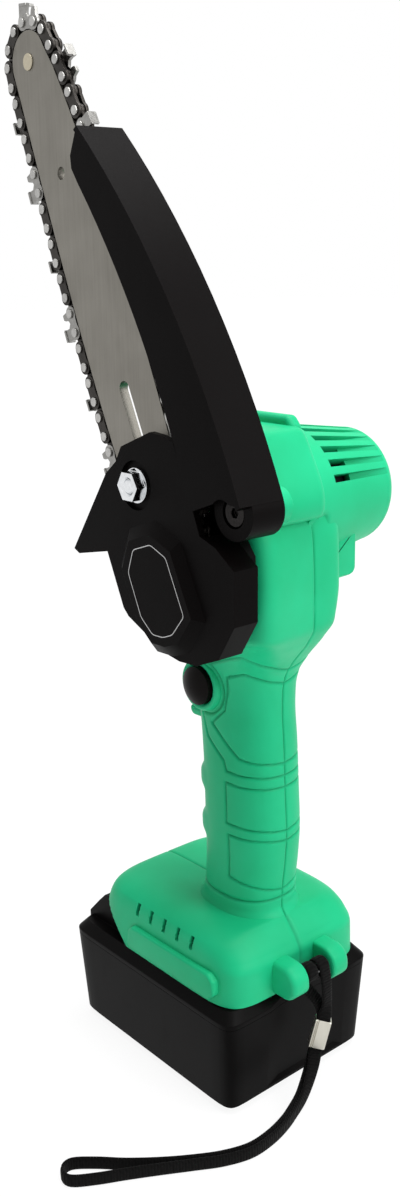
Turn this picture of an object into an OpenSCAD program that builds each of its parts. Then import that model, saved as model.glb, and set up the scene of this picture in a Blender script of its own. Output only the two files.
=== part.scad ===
// Cordless pruning chainsaw with a six inch bar, standing on its battery.
// Origin at the centre of the battery's underside; +Z up, -X the trigger side,
// -Y the bar and sprocket cover side. Millimetres and degrees.

/* [Saw chain] */
// Average distance between neighbouring rivets
chain_pitch = 6.35; // [6.2:0.05:6.5]
// Drive links in the loop
drive_links = 36; // [36:1:40]
// How much longer a tie strap's rivet spacing is than the average
strap_stretch = 0.5; // [0:0.1:0.8]
// Thickness of a tie strap or cutter plate
strap_t = 1.2; // [1:0.1:1.3]
// Height of a tie strap
strap_h = 5.2; // [4.8:0.1:5.6]
// Thickness of a drive link
drive_t = 1.3; // [1.1:0.1:1.4]
// Depth of a drive link's tang below the rivet line
tang_depth = 4.2; // [3.6:0.1:4.6]
// Diameter of a rivet's shank
rivet_d = 2.4; // [2:0.1:2.6]
// Diameter of a rivet's peened head
rivet_head_d = 3.2; // [3:0.1:4]
// Height of a cutter above the rivet line
cutter_h = 6; // [5:0.2:6.4]

/* [Guide bar] */
// Plane of the bar's middle, measured from the clamshell's seam
bar_y = -38; // [-38.5:0.1:-37.5]
// Lean of the bar from upright
bar_tilt = 24.1; // [22:0.1:26]
// Thickness of the bar over its three plates
bar_t = 3.6; // [3.2:0.1:3.8]
// Thickness of the bar's middle plate, which is the groove's width
core_t = 1.5; // [1.4:0.1:1.6]
// Radius of the rivet line round the nose
nose_r = 13; // [12.6:0.1:13.4]
// Distance from the rivet line in to the bar's rails
bar_inset = 2.9; // [2.8:0.1:3.2]
// Fullness of the front run
front_bulge = 17.5; // [15:0.5:19]
// Fullness of the back run
back_bulge = 17.5; // [15:0.5:19]
// Width of the adjusting slot
slot_w = 5.4; // [5.3:0.1:6]
// Distance from the spindle to the slot's far end
slot_reach = 70; // [60:1:80]
// Distance from the spindle to the bar's tail
tail_reach = 22; // [20:0.5:25]
// Diameter of the nose rivet's head
nose_rivet_d = 5.6; // [5:0.1:6.4]
// Diameter of the small hole in the bar
bar_hole_d = 4.3; // [3:0.1:5]
// Distance from the nose to the small hole
bar_hole_reach = 40.7; // [35:0.1:46]

/* [Drive] */
// Spindle axis, forward or back of the origin
spindle_x = 30.9; // [30.4:0.1:31.4]
// Spindle axis height
spindle_z = 203.5; // [203:0.1:204]
// Diameter of the output spindle
spindle_d = 7; // [6:0.5:7]
// Teeth of the drive and nose sprockets
sprocket_teeth = 6; // [6:1:7]
// Gear module
gear_module = 0.8; // [0.78:0.01:0.82]
// Teeth of the motor pinion
pinion_teeth = 12; // [11:1:13]
// Teeth of the drive gear
gear_teeth = 46; // [45:1:47]
// Direction from the spindle to the motor axis
motor_angle = 98.4; // [97:0.1:100]
// Diameter of the motor can
motor_d = 35.8; // [34:0.2:36]
// Length of the motor can
motor_l = 42; // [40:0.5:43]
// Diameter of the motor shaft
shaft_d = 3.2; // [3:0.1:4]

/* [Bar mounting] */
// Distance from the spindle to the bar stud
stud_reach = 36.7; // [36:0.1:37.4]
// Diameter of the bar stud
stud_d = 5; // [4.8:0.1:5]
// Width of the nut over its flats
nut_af = 9.4; // [9:0.1:9.8]
// Gap that lets the chips out between the cover's back rim and the mount
chip_gap = 3.3; // [2.5:0.1:4]
// Diameter of the nut's flange
nut_flange_d = 12; // [11.6:0.1:13]

/* [Housing] */
// Wall thickness of the mouldings
wall = 2.5; // [2:0.1:2.8]
// Face of the left half that the bar mount sits on
case_y = -29; // [-29.2:0.1:-28.6]
// Radius of the round gear case
drum_r = 32.5; // [32:0.1:33]
// Room between the motor can and the barrel's wall
motor_gap = 1.1; // [1:0.1:2]
// Room between the end of the motor's shaft and the barrel's wall
motor_end_gap = 4.8; // [2.5:0.1:6]
// Underside of the housing's foot
foot_z = 44; // [43.8:0.1:44.6]
// Diameter of a housing screw's thread
screw_d = 2.6; // [2.4:0.1:3]

/* [Chain guard] */
// Pivot of the guard, measured back from the spindle
guard_dx = 29.6; // [29.4:0.1:30]
// Pivot of the guard, measured up from the spindle
guard_dz = 30; // [29.8:0.1:30.4]
// Outer width of the guard across the bar
guard_w = 18.6; // [18:0.1:19]
// Wall thickness of the guard
guard_wall = 2.2; // [1.8:0.1:2.4]
// Radius of the guard's pivot boss
guard_boss_r = 9; // [8.6:0.1:9.2]

/* [Controls] */
// Height of the trigger's middle
trigger_z = 155.3; // [154.8:0.1:155.8]
// Height of the trigger
trigger_h = 21.4; // [20.4:0.5:22.4]
// Width of the trigger
trigger_w = 12; // [11:0.5:13]
// Travel of the trigger
trigger_travel = 5; // [4:0.5:5]
// Diameter of the lock button
button_d = 14.4; // [13.6:0.2:15]
// Travel of the lock button
button_travel = 4; // [3:0.5:4]

/* [Battery] */
// Height of the battery case
battery_h = 40; // [39.5:0.1:40.4]
// Wall of the battery case
battery_wall = 2; // [1.8:0.1:2.2]
// Diameter of a cell
cell_d = 18.2; // [18:0.05:18.3]
// Length of a cell
cell_l = 65; // [64:0.1:65.2]
// Room at a cell's end
cell_end_gap = 1; // [0.8:0.1:2]
// How much longer the battery's underside is than its row of cells
cell_row_gap = 1.4; // [1.2:0.1:4]

/* [Wrist strap] */
// Width of the strap
strand_w = 5; // [4.6:0.1:5.4]
// Thickness of the strap
strand_t = 1.4; // [1.2:0.1:1.5]
// Diameter of the pin that carries the strap
strap_pin_d = 4; // [3.6:0.1:4.2]

/* [Hidden] */
$fn = 48;
// Clearance of a free turning or sliding fit
run_fit = 0.05;
// Clearance between moving bodies
clear = 0.4;
// Clearance between pieces that are set in place by hand
seat = 0.1;

// Rivets in the loop and the radius they turn at on the sprocket
rivets = 2 * drive_links;
sprocket_r = chain_pitch / (2 * sin(90 / sprocket_teeth));
// Length that the bulged runs add to the loop
run_excess = 1.2;
// Nose to spindle, from the loop's length
reach = (rivets * chain_pitch - PI * (nose_r + sprocket_r) - run_excess) / 2;
nose_x = spindle_x - reach * sin(bar_tilt);
nose_z = spindle_z + reach * cos(bar_tilt);
// How the runs swell from the nose, and close in on the sprocket
front_rise = 1.15;
back_rise = 0.7;
run_fall = 0.6;
run_steps = 40;
turn_steps = 16;
// Bar faces and stack of the chain across the bar
bar_left = bar_y - bar_t / 2;
bar_right = bar_y + bar_t / 2;
strap_gap = 0.05;
strap_in = drive_t / 2 + strap_gap;
strap_out = strap_in + strap_t;
rivet_head_t = 0.7;
groove_clear = 0.6;

// Motor axis, from the gear centres
gear_centres = gear_module * (pinion_teeth + gear_teeth) / 2 + 0.05;
motor_x = spindle_x + gear_centres * cos(motor_angle);
motor_z = spindle_z + gear_centres * sin(motor_angle);

// Planes across the drive, from the bar side to the motor side
mount_y = bar_right + 2.8;
cover_out = bar_y - 8.8;
cover_t = 2.4;
cover_in = cover_out + cover_t;
panel_out = cover_out - 3.4;
gear_y0 = -24;
gear_y1 = -17;
gearbox_back = -9;
motor_y0 = gearbox_back;
motor_y1 = motor_y0 + motor_l;
bell_l = 6.5;
// How far the shaft stands out of the end bell
shaft_end = 2;
// Barrel round the motor, wider at its root
barrel_r = motor_d / 2 + motor_gap + wall;
barrel_end = motor_y1 + bell_l + shaft_end + motor_end_gap + wall;

// Bar stud, on the bar's axis
stud_x = spindle_x - stud_reach * sin(bar_tilt);
stud_z = spindle_z + stud_reach * cos(bar_tilt);

// Guard pivot and planes
guard_x = spindle_x + guard_dx;
guard_z = spindle_z + guard_dz;
guard_left = bar_y - guard_w / 2 - 0.7;
guard_right = guard_left + guard_w;
guard_boss_y = bar_y - 5;
guard_screw_r = 2;

// Battery case sections
battery_draft_x = 2.5;
battery_draft_y = 2.25;
lid_t = 2;
// Shoulder of the lid: how far it rises above the case and draws in
shoulder_h = 3.75;
shoulder_in = 3;
// Gap between the lid and the foot
lid_gap = 0.25;
// Cells lie across the battery in one row
cell_gap = 0.12;
cell_pitch = cell_d + cell_gap;
battery_l = 5 * cell_pitch + cell_row_gap;
battery_w = cell_l + 2 * (cell_end_gap + battery_wall);
// Planes of the case, hung below the foot
case_z1 = foot_z - lid_gap - shoulder_h;
case_z0 = case_z1 - battery_h;
case_floor = case_z0 + battery_wall + 0.6;
case_top = case_z1 - lid_t;
rail_half = 26;
neck_half = 22;
rail_z0 = foot_z + 3.2;
rail_z1 = rail_z0 + 3;
block_top = rail_z1 + 5.2;
cell_z = case_top - cell_d / 2 - 1.9;

// Trigger and switch
switch_x = 9.5;
trigger_front = -10.5;
trigger_back = 4;
trigger_bore_r = 3.3;
button_x = 11.5;
button_z = 158;
button_out = -21;
button_in = -11;
switch_side = -6;

// Strap pin, between the ears
ear_in = 6.5;
ear_out = 14.8;
ear_x = 59.5;
pin_x = 54.5;
pin_z = 52;
ear_z = 51.5;

green = [0.18, 0.80, 0.55];
black = [0.10, 0.10, 0.11];
steel = [0.55, 0.54, 0.52];
dark_steel = [0.22, 0.22, 0.22];
chrome = [0.85, 0.86, 0.88];
brass = [0.80, 0.65, 0.30];

// Placing helpers

// Extrudes an outline drawn in x and z between two planes across the saw
module across(y0, y1) {
  translate([0, y1, 0]) rotate([90, 0, 0]) linear_extrude(y1 - y0) children();
}

// Cylinder across the saw
module rod_y(x, z, y0, y1, r) {
  translate([x, y0, z]) rotate([-90, 0, 0]) cylinder(h = y1 - y0, r = r);
}

// Solid of revolution about an axis across the saw, profile in radius and y
module turned_y(x, z) {
  translate([x, 0, z]) rotate([-90, 0, 0]) rotate_extrude() children();
}

// Puts an outline drawn on the bar (across, towards the nose) in its place
module on_bar() {
  translate([nose_x, nose_z]) rotate(bar_tilt) children();
}

// Box between two corners
module block(a, b) {
  translate(a) cube(b - a);
}

// Curves and swept shapes

function bar_point(a, p) = [
  nose_x + a * sin(bar_tilt) + p * cos(bar_tilt),
  nose_z - a * cos(bar_tilt) + p * sin(bar_tilt)
];
// Half width of the rivet line at a share u of the way from nose to spindle
function run_half(u, rise, bulge) =
  nose_r + (sprocket_r - nose_r) * u + bulge * pow(u, rise) * pow(1 - u, run_fall);
function front_half(a) = run_half(a / reach, front_rise, front_bulge);
function back_half(a) = run_half(a / reach, back_rise, back_bulge);

// The rivet line: up the front, round the nose, down the back, round the sprocket
loop_points = concat(
  [for (i = [0:run_steps]) let (a = reach * (1 - i / run_steps)) bar_point(a, -front_half(a))],
  [for (i = [1:turn_steps - 1]) let (t = 180 - 180 * i / turn_steps)
    bar_point(-nose_r * sin(t), nose_r * cos(t))],
  [for (i = [0:run_steps]) let (a = reach * i / run_steps) bar_point(a, back_half(a))],
  [for (i = [1:turn_steps]) let (t = 180 * i / turn_steps)
    bar_point(reach + sprocket_r * sin(t), sprocket_r * cos(t))]
);
loop_at = [for (i = 0, s = 0; i < len(loop_points);
  s = s + (i + 1 < len(loop_points) ? norm(loop_points[i + 1] - loop_points[i]) : 0), i = i + 1) s];
loop_length = loop_at[len(loop_at) - 1];
loop_x = [for (i = [0:len(loop_at) - 1]) [loop_at[i], loop_points[i][0]]];
loop_z = [for (i = [0:len(loop_at) - 1]) [loop_at[i], loop_points[i][1]]];
link = loop_length / rivets;
// Where along the loop the first strap's middle lies, so that cutters fall as photographed
loop_start = 37.8;
function on_loop(s) = let (w = s - loop_length * floor(s / loop_length))
  [lookup(w, loop_x), lookup(w, loop_z)];
// Rivets are numbered along the loop; straps join odd to even ones
function rivet_at(k) = on_loop(loop_start + (k + 0.5) * link + (k % 2 == 0 ? -1 : 1) * -strap_stretch / 2);

// Puts a plate drawn along a link (leading, outward) at the link after rivet k
module at_link(k) {
  a = rivet_at(k);
  b = rivet_at(k + 1);
  translate((a + b) / 2) rotate(atan2(b[1] - a[1], b[0] - a[0])) children();
}
function link_half(k) = norm(rivet_at(k + 1) - rivet_at(k)) / 2;

// Points of a circular arc from a to b that bows to the left by sag
function bow(a, b, sag, n) = let (
  c = norm(b - a), r = c * c / (8 * sag) + sag / 2, d = (b - a) / c,
  m = (a + b) / 2 + [d[1], -d[0]] * (r - sag), h = asin(c / (2 * r)))
  [for (i = [0:n]) let (t = h - 2 * h * i / n) m + r * (cos(t) * [-d[1], d[0]] - sin(t) * d)];

function reversed(list) = [for (i = [len(list) - 1:-1:0]) list[i]];

// Ring of a rounded section: x range, y range, squareness e, flare of the back towards -Y
function ring(z, x0, x1, y0, y1, e, n, flare = 0) = [for (i = [0:n - 1]) let (
  t = 360 * (i + 0.5) / n, c = cos(t), s = sin(t),
  y = (y0 + y1) / 2 + (y1 - y0) / 2 * sign(s) * pow(abs(s), 2 / e))
  [(x0 + x1) / 2 + (x1 - x0) / 2 * sign(c) * pow(abs(c), 2 / e) + flare * max(0, c) * max(0, y / case_y),
    y, z]];

// Skin through a stack of rings that all have n points
module loft(rings) {
  n = len(rings[0]);
  m = len(rings);
  polyhedron(
    points = [for (r = rings, p = r) p],
    faces = concat(
      [for (j = [0:m - 2], i = [0:n - 1]) [j * n + i, (j + 1) * n + i, j * n + (i + 1) % n]],
      [for (j = [0:m - 2], i = [0:n - 1])
        [j * n + (i + 1) % n, (j + 1) * n + i, (j + 1) * n + (i + 1) % n]],
      [for (i = [1:n - 2]) [0, i, i + 1]],
      [for (i = [1:n - 2]) [(m - 1) * n, (m - 1) * n + i + 1, (m - 1) * n + i]]));
}

// Tube along points: half width a along each side vector, half thickness b across it
module swept(points, sides, a, b, n) {
  m = len(points);
  loft([for (i = [0:m - 1]) let (
    d = points[min(i + 1, m - 1)] - points[max(i - 1, 0)],
    t = d / norm(d),
    s0 = sides[i] - t * (sides[i] * t),
    s = s0 / norm(s0),
    u = cross(t, s))
    [for (k = [0:n - 1]) let (w = 360 * (k + 0.5) / n) points[i] + s * a * cos(w) - u * b * sin(w)]]);
}

// Compression spring along +Z, straight for nothing at its ends
module coil(r, wire, height, turns) {
  rings = 10 * turns;
  pts = [for (i = [0:rings]) let (t = 36 * i)
    [r * cos(t), r * sin(t), wire / 2 + (height - wire) * i / rings]];
  swept(pts, [for (i = [0:rings]) [0, 0, 1]], wire / 2, wire / 2, 6);
}

// Spur gear outline with straight-sided teeth that leave running clearance
module gear_outline(teeth, phase) {
  rp = gear_module * teeth / 2;
  ra = rp + 0.8 * gear_module;
  rf = rp - 1.15 * gear_module;
  step = 360 / teeth;
  polygon([for (i = [0:teeth - 1], q = [[-0.34, rf], [-0.12, ra], [0.12, ra], [0.34, rf]])
    let (t = phase + step * (i + q[0])) q[1] * [cos(t), sin(t)]]);
}

// Chain sprocket outline with blunt teeth
module star_outline(teeth, tip, root) {
  step = 360 / teeth;
  polygon([for (i = [0:teeth - 1], q = [[-0.3, root], [-0.13, tip], [0.13, tip], [0.3, root]])
    let (t = step * (i + q[0])) q[1] * [cos(t), sin(t)]]);
}

// Housing

// Sections of the grip and neck: height, front, back, left, right, squareness, flare
grip_sections = [
  [62, -6, 41.5, -19, 19, 2.4, 0],
  [67, -2.2, 40.4, -17.8, 17.8, 2.4, 0],
  [72, 1.6, 37.8, -16, 16, 2.4, 0],
  [80, 2.8, 38.2, -15.3, 15.3, 2.4, 0],
  [90, 3, 39.5, -15.2, 15.2, 2.4, 0],
  [102, 2.6, 40.4, -15.3, 15.3, 2.4, 0],
  [120, 2.4, 39.6, -15.3, 15.3, 2.4, 0],
  [137, 1.2, 39, -15, 15, 2.4, 0],
  [150, -0.5, 38.2, -14.8, 14.8, 2.4, 0],
  [158, -2, 38.4, -15.2, 15.2, 2.4, 0],
  [164, -3, 39.5, -16, 16, 2.5, 0],
  [170, -3.6, 43, -18, 16.7, 2.8, 0],
  [180, -4, 51, -24.5, 16, 4, 2],
  [186, -3, 53.9, case_y, 15.6, 6, 4],
  [199, 0, 53.9, case_y, 16.2, 8, 5],
  [216, 3, 53.2, case_y, 16.2, 8, 4.6],
  [232, 5, 50, case_y, 15, 8, 3]
];
// Sections of the foot, taken the same way, with equal sides
foot_sections = [
  [foot_z, -36, 48, 35, 7],
  [foot_z + 12, -35.6, 48, 34.6, 7],
  [foot_z + 17, -35, 46, 34.2, 6.4],
  [foot_z + 21, -34, 43, 33, 5.6],
  [foot_z + 23.6, -32, 40.6, 29.8, 5],
  [foot_z + 24.8, -29, 38.8, 25.6, 4.4]
];
ring_points = 28;
drum_end = 3;
drum_round = 5;
step_z = motor_z - 2.4;
// Front foot cut: the slope that the battery's front block stands against
slope_top = [-34, 60];
slope_foot = [-17, 45];
slope_run = (slope_foot - slope_top) / norm(slope_foot - slope_top);
slope_end = slope_foot + slope_run * (slope_foot[1] - foot_z + 2) / -slope_run[1];

module grip_loft(in) {
  loft([for (g = grip_sections)
    ring(g[0], g[1] + in, g[2] - in, g[3] + in, g[4] - in, g[5], ring_points, g[6])]);
}

module foot_loft(in) {
  last = len(foot_sections) - 1;
  loft([for (i = [0:last]) let (g = foot_sections[i])
    ring(g[0] - (i == last ? in : 0) - (i == 0 && in > 0 ? 1 : 0),
      g[1] + in, g[2] - in, -g[3] + in, g[3] - in, g[4], ring_points)]);
}

// Gear case behind the bar: round in front, with a flat top and a creased back
// Back corners, as direction from the motor axis and distance past the radius
drum_back = [[-4.7, -2.9], [6.4, -1.3], [19.6, -1.2], [51.8, 1.5], [58, 1.2], [84, -3.6]];
drum_outline = concat(
  [for (q = drum_back) (drum_r + q[1]) * [cos(q[0]), sin(q[0])]],
  [for (t = [118:12.4:180]) drum_r * [cos(t), sin(t)]],
  [(drum_r - 0.1) * [cos(184.3), sin(184.3)]]);
function drum_ring(y, in) = [for (q = drum_outline) let (w = q - in * q / norm(q))
  [motor_x + w[0], y, motor_z + (q[1] < -2 ? q[1] + min(in, wall) * 0.6 : w[1])]];

module drum(in) {
  y0 = case_y - (in > 0 ? 1 : 0);
  y1 = drum_end - in;
  q = drum_round;
  loft(reversed([drum_ring(y0, in), drum_ring(y1 - q, in), drum_ring(y1 - q / 2, in + q * 0.14),
    drum_ring(y1 - q * 0.13, in + q * 0.5), drum_ring(y1, in + q)]));
}

// Motor barrel: a cone with a rounded end
barrel_round = 5.7;
barrel_root = 5;
barrel_flare = 5.4;
barrel_shift = [-0.8, 0.4];
barrel_x = motor_x + barrel_shift[0];
barrel_z = motor_z + barrel_shift[1];
barrel_bend = barrel_end - barrel_round;
function barrel_skin_r(y) = barrel_r + barrel_flare * (barrel_bend - y) / (barrel_bend - barrel_root);
function barrel_ring(y, r) = [for (i = [0:barrel_sides - 1]) let (t = 360 * (i + 0.5) / barrel_sides)
  [barrel_x + r * cos(t), y, barrel_z + r * sin(t)]];

module barrel(in) {
  q = barrel_round - in;
  rt = barrel_r - in;
  loft(reversed(concat([barrel_ring(-2, barrel_skin_r(-2) - in)],
    [for (t = [0:30:90]) barrel_ring(barrel_bend + q * sin(t), rt - q + q * cos(t))])));
}

// Cooling slots: directions, width, and the planes where they open, close in and run out
slot_first = 20.5;
slot_step = 12.64;
slot_count = 12;
slot_half = 1.4;
slot_y0 = 12.4;
slot_y1 = 23.2;
slot_y2 = barrel_bend + 0.6;

// Middles of the housing screws, x and z, and the plane of each head
grip_screws = [[31, 96, 6], [9, 112, 6], [34, 172, 7], [6, 184, 6]];
drum_screws = [[motor_x - 27.5, motor_z + 12, -1.4], [motor_x + 15.5, motor_z + 23.2, -1.4]];
foot_screws = [[-25, 62, 12], [39.6, block_top + 5.4, 12]];
screw_places = concat(grip_screws, drum_screws, foot_screws);
boss_r = 3.6;
screw_l = 14;
collar_w = 3;
lug_r = 6;
lug_l = 7;
skin = 0.4;

ridge_half = 2.7;
rib_x0 = 9;
rib_x1 = 46;
rib_y = 29.4;

// Raised pad on the foot's side
pad_corners = [[-13, foot_z + 3.6], [-12.4, foot_z + 9.6], [-9.6, foot_z + 12.2], [36, foot_z + 12.6],
  [38.8, foot_z + 10.2], [39.2, foot_z + 4.8], [36.4, foot_z + 2], [-11.4, foot_z + 1.6]];
module shell_outer() {
  grip_loft(0);
  foot_loft(0);
  drum(0);
  barrel(0);
  // Ridge over the seam on the gear case's top
  across(-ridge_half, ridge_half) translate([motor_x, motor_z])
    polygon([[-13.5, 24], [-13.5, 31.8], [14.9, 31.7], [18, 28.1], [18, 24]]);
  // Rib under the motor barrel
  translate([rib_x0, 0, motor_z]) rotate([90, 0, 90]) linear_extrude(rib_x1 - rib_x0)
    polygon([[8, -28.9], [rib_y - 2.4, -28.2], [rib_y - 0.8, -27.4], [rib_y, -25.8], [rib_y, -10.6],
      [8, -10.6]]);
  // Collar round the lock button
  rod_y(button_x, button_z, -17.4, -8, button_d / 2 + collar_w);
  // Finger rest under the trigger
  across(-8, 8) translate([0, trigger_z - trigger_h / 2 - 1]) polygon([[6, -4.2], [2.4, -3.7],
    [-3.4, -3.9], [-4.9, -2.7], [-5.2, -0.8], [-4.4, 0], [6, 0]]);
  // Ears that carry the wrist strap's pin
  for (s = [-1, 1]) ear(s);
  // Long raised pads on the foot's sides
  for (s = [-1, 1]) translate([0, s * 34.4, 0]) across(-2.4, 2.4) polygon(pad_corners);
  // Lug behind the guard's pivot
  rod_y(guard_x, guard_z, case_y, case_y + lug_l, lug_r);
  block([motor_x + drum_r - 8, case_y, guard_z - lug_r], [guard_x, case_y + lug_l, guard_z + lug_r]);
  // Two finger ridges down the front of the grip
  for (z = [99.8, 118.8]) rod_y(5, z, -8, 8, 4.2);
}

ear_r = 6.5;
module ear(s) {
  across(s > 0 ? ear_in : -ear_out, s > 0 ? ear_out : -ear_in) difference() {
    union() {
      polygon([[40, foot_z + 0.5], [ear_x - 4, foot_z + 0.5], [ear_x, ear_z - 2], [ear_x, ear_z],
        [ear_x - ear_r, ear_z + ear_r], [40, ear_z + ear_r]]);
      translate([ear_x - ear_r, ear_z]) circle(ear_r);
    }
    translate([pin_x, pin_z]) circle(strap_pin_d / 2 + run_fit);
  }
}

module shell_inner() {
  grip_loft(wall);
  foot_loft(wall);
  drum(wall);
  barrel(wall);
}

// Cuts that both halves share
module shell_cuts() {
  // Trigger window
  block([trigger_front - 2, -trigger_w / 2 - clear, trigger_z - trigger_h / 2 - clear],
    [6, trigger_w / 2 + clear, trigger_z + trigger_h / 2 + clear]);
  // Lock button bore
  rod_y(button_x, button_z, -30, 0, button_d / 2 + run_fit);
  // Sloped front of the foot
  across(-60, 60) polygon([[-70, slope_top[1]], slope_top, slope_end, [-70, slope_end[1]]]);
  // Way for the battery's neck and rail, open to the front
  block([-70, -neck_half - clear, foot_z - 2], [rail_back + clear, neck_half + clear, rail_z1 + clear]);
  block([-70, -rail_half - clear, rail_z0 - clear], [rail_back + clear, rail_half + clear, rail_z1 + clear]);
  // Hole in the left wall for the gear case's bearing boss, and one for the bar stud's head
  rod_y(spindle_x, spindle_z, case_y - 5, case_y + wall + 3, gear_boss_r + seat);
  rod_y(stud_x, stud_z, case_y - 5, case_y + wall + 3, stud_head_r + seat);
  // Five vent slots on each side of the foot
  for (i = [0:4]) translate([-8.6 + 8.1 * i, 0, 62.9]) cube([1.4, 90, 4.6], center = true);
  // Cooling slots of the motor barrel, open first and then a groove that runs out
  for (i = [0:slot_count - 1]) translate([barrel_x, 0, barrel_z]) rotate([0, -slot_first - slot_step * i, 0])
    translate([0, 0, -slot_half]) linear_extrude(2 * slot_half) {
      translate([barrel_r - 4, slot_y0]) square([24, slot_y1 - slot_y0]);
      polygon([[barrel_skin_r(slot_y1) - 1.9, slot_y1 - 0.5], [barrel_r + 20, slot_y1 - 0.5],
        [barrel_r + 20, slot_y2], [barrel_skin_r(slot_y2) - 0.2, slot_y2]]);
    }
  // Channel for the motor leads, under the can
  block([motor_x - lead_gap - lead_r - clear, 24, motor_z - lead_drop - lead_r - 2 * clear],
    [motor_x + lead_gap + lead_r + clear, motor_y1 + 3 + 1.5 * clear, motor_z - motor_d / 2]);
  // Screw ways
  for (p = screw_places) {
    rod_y(p[0], p[1], p[2], 60, boss_r - 0.6);
    rod_y(p[0], p[1], p[2] - screw_l - 0.6, p[2] + 1, screw_d / 2 + seat);
  }
  // Guard screw's thread
  rod_y(guard_x, guard_z, case_y - 1, case_y + lug_l + 1, guard_screw_r + seat);
}

// Ledges inside the foot that carry the battery's rail, and its back stop
rail_back = 38;
module foot_rails() {
  for (s = [-1, 1]) block([-14, s > 0 ? neck_half : -34, foot_z],
    [rail_back + 4, s > 0 ? 34 : -neck_half, rail_z0 - clear]);
  block([rail_back + 1.5, -33, foot_z], [rail_back + 4.5, 33, rail_z1]);
  // Hanger of the terminal block
  block([31, -16, block_top], [39, 1, 70]);
  block([31, 5, block_top], [39, 16, 70]);
}

// Ribs that hold the switch between the halves
module grip_ribs() {
  for (z = [131, 146]) {
    block([14, -20, z], [29, switch_side, z + 2]);
    block([14, switch_side + switch_w, z], [29, 20, z + 2]);
  }
  for (p = grip_screws) rod_y(p[0], p[1], -24, 24, boss_r + 1);
}

module shell() {
  difference() {
    union() {
      difference() {
        shell_outer();
        shell_inner();
      }
      intersection() {
        grip_ribs();
        grip_loft(skin);
      }
      intersection() {
        union() {
          foot_rails();
          for (p = foot_screws) rod_y(p[0], p[1], -30, 30, boss_r + 1);
        }
        foot_loft(skin);
      }
      intersection() {
        for (p = drum_screws) rod_y(p[0], p[1], -20, 10, boss_r + 1);
        drum(skin);
      }
    }
    shell_cuts();
  }
}

module left_housing() {
  color(green) intersection() {
    shell();
    block([-80, -60, 0], [120, 0, 300]);
  }
}

module right_housing() {
  color(green) intersection() {
    shell();
    block([-80, 0, 0], [120, 60, 300]);
  }
}

module housing_screws() {
  color(dark_steel) for (p = screw_places) {
    rod_y(p[0], p[1], p[2] - screw_l, p[2], screw_d / 2);
    rod_y(p[0], p[1], p[2], p[2] + 2, boss_r - 0.9);
  }
}

// Bar mount, cover and bar fixings

// Cover corners, measured from the spindle, from the top round by the back
cover_corners = [
  [-22.4, 45.8], [-6.6, 52.1], [0.1, 51.5], [5.4, 49.8], [14.2, 30.2], [17.6, 21.4], [25.2, 18.8],
  [33.9, 12.6], [33.7, -5.5], [25.9, -18], [14.8, -22.7], [6, -23.2], [-2.4, -21.9], [-21.4, -13.3],
  [-24.1, -10.7], [-32.4, 8]
];
// Mount plate: the cover's outline, drawn in at the back where the cover stands past the housing
mount_corners = [
  [-22.4, 45.8], [-6.6, 52.1], [0.1, 51.5], [5.4, 49.8], [14.2, 30.2], [17.6, 21.4], [20.4, 18.6],
  [24.6, 13], [24.8, -8.4], [18.6, -18], [12.4, -22.5], [6, -23], [-2.4, -21.7], [-21.4, -13.3],
  [-24.1, -10.7], [-32.4, 8]
];
fin_corners = [[-32.4, 8], [-49.7, 4.3], [-52.7, 5.7], [-31.5, 35.7], [-25.6, 40.4], [-22.4, 45.8],
  [-16, 24]];
// Label panel corners, raised, with a rounded lower end
panel_corners = [
  [-4.2, 19], [6.5, 15], [16.6, -5.6], [9.3, -15.6], [2.5, -18.2], [-4.6, -18.4], [-12.3, -12.2],
  [-19.6, 4.6],
  [-15.4, 15]
];

module at_spindle() {
  translate([spindle_x, spindle_z]) children();
}

// Strip of the bar's frame that stays open for the bar and chain to pass
module chain_way() {
  on_bar() translate([-24.4, -reach]) square([50, reach]);
}

module bar_mount() {
  color(black) difference() {
    union() {
      across(mount_y, case_y) at_spindle() polygon(mount_corners);
      // Pad that the bar bears on
      across(bar_right, mount_y) on_bar() translate([-9, -(reach - tail_reach - 2)]) square([18, 28]);
    }
    rod_y(spindle_x, spindle_z, -60, 0, bearing_od / 2 + seat);
    rod_y(stud_x, stud_z, -60, 0, stud_d / 2 + run_fit);
    // Way for the tensioner's pin and its screw
    across(-60, 0) on_bar() translate([tension_p - 2.2, -tension_a - 6]) square([4.4, 12]);
    tension_bore(1.1 + run_fit);
    across(mount_y - 10, mount_y - clear) at_spindle() circle(9);
    rod_y(guard_x, guard_z, -60, 0, guard_boss_r + clear);
  }
}

module sprocket_cover() {
  color(black) difference() {
    union() {
      across(cover_out, cover_in) at_spindle() {
        polygon(cover_corners);
        polygon(fin_corners);
      }
      // Rim round the sprocket, open where the bar and chain come in
      across(cover_in, mount_y) difference() {
        at_spindle() polygon(cover_corners);
        at_spindle() scale(0.93) polygon(cover_corners);
        chain_way();
      }
      // Bumper spike, outside the chain's run
      across(cover_in, mount_y) difference() {
        at_spindle() polygon(fin_corners);
        on_bar() translate([-26, -reach - 40]) square([90, 300]);
      }
      // Raised panel with sloped sides
      hull() {
        across(cover_out, cover_out + 0.5) at_spindle() scale(1.22) polygon(panel_corners);
        across(panel_out, panel_out + 0.5) at_spindle() polygon(panel_corners);
      }
    }
    // Way out for the chips between the rim and the mount, at the back
    across(rim_y, mount_y + 1) at_spindle()
      polygon([[15, 27], [42, 27], [42, -28], [6, -28], [6, -20.6], [15, -17]]);
    // Inside of the raised panel
    hull() {
      across(cover_in - 0.1, cover_in + 0.5) at_spindle() scale(1.02) polygon(panel_corners);
      across(panel_out + cover_t, panel_out + cover_t + 0.5) at_spindle() scale(0.82) polygon(panel_corners);
    }
    rod_y(stud_x, stud_z, -60, 0, stud_d / 2 + 0.2);
    // Shallow round recess that the nut's flange sits in
    rod_y(stud_x, stud_z, cover_out - 1, cover_out + nut_recess, nut_flange_d / 2 + 2.4);
  }
}

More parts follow.
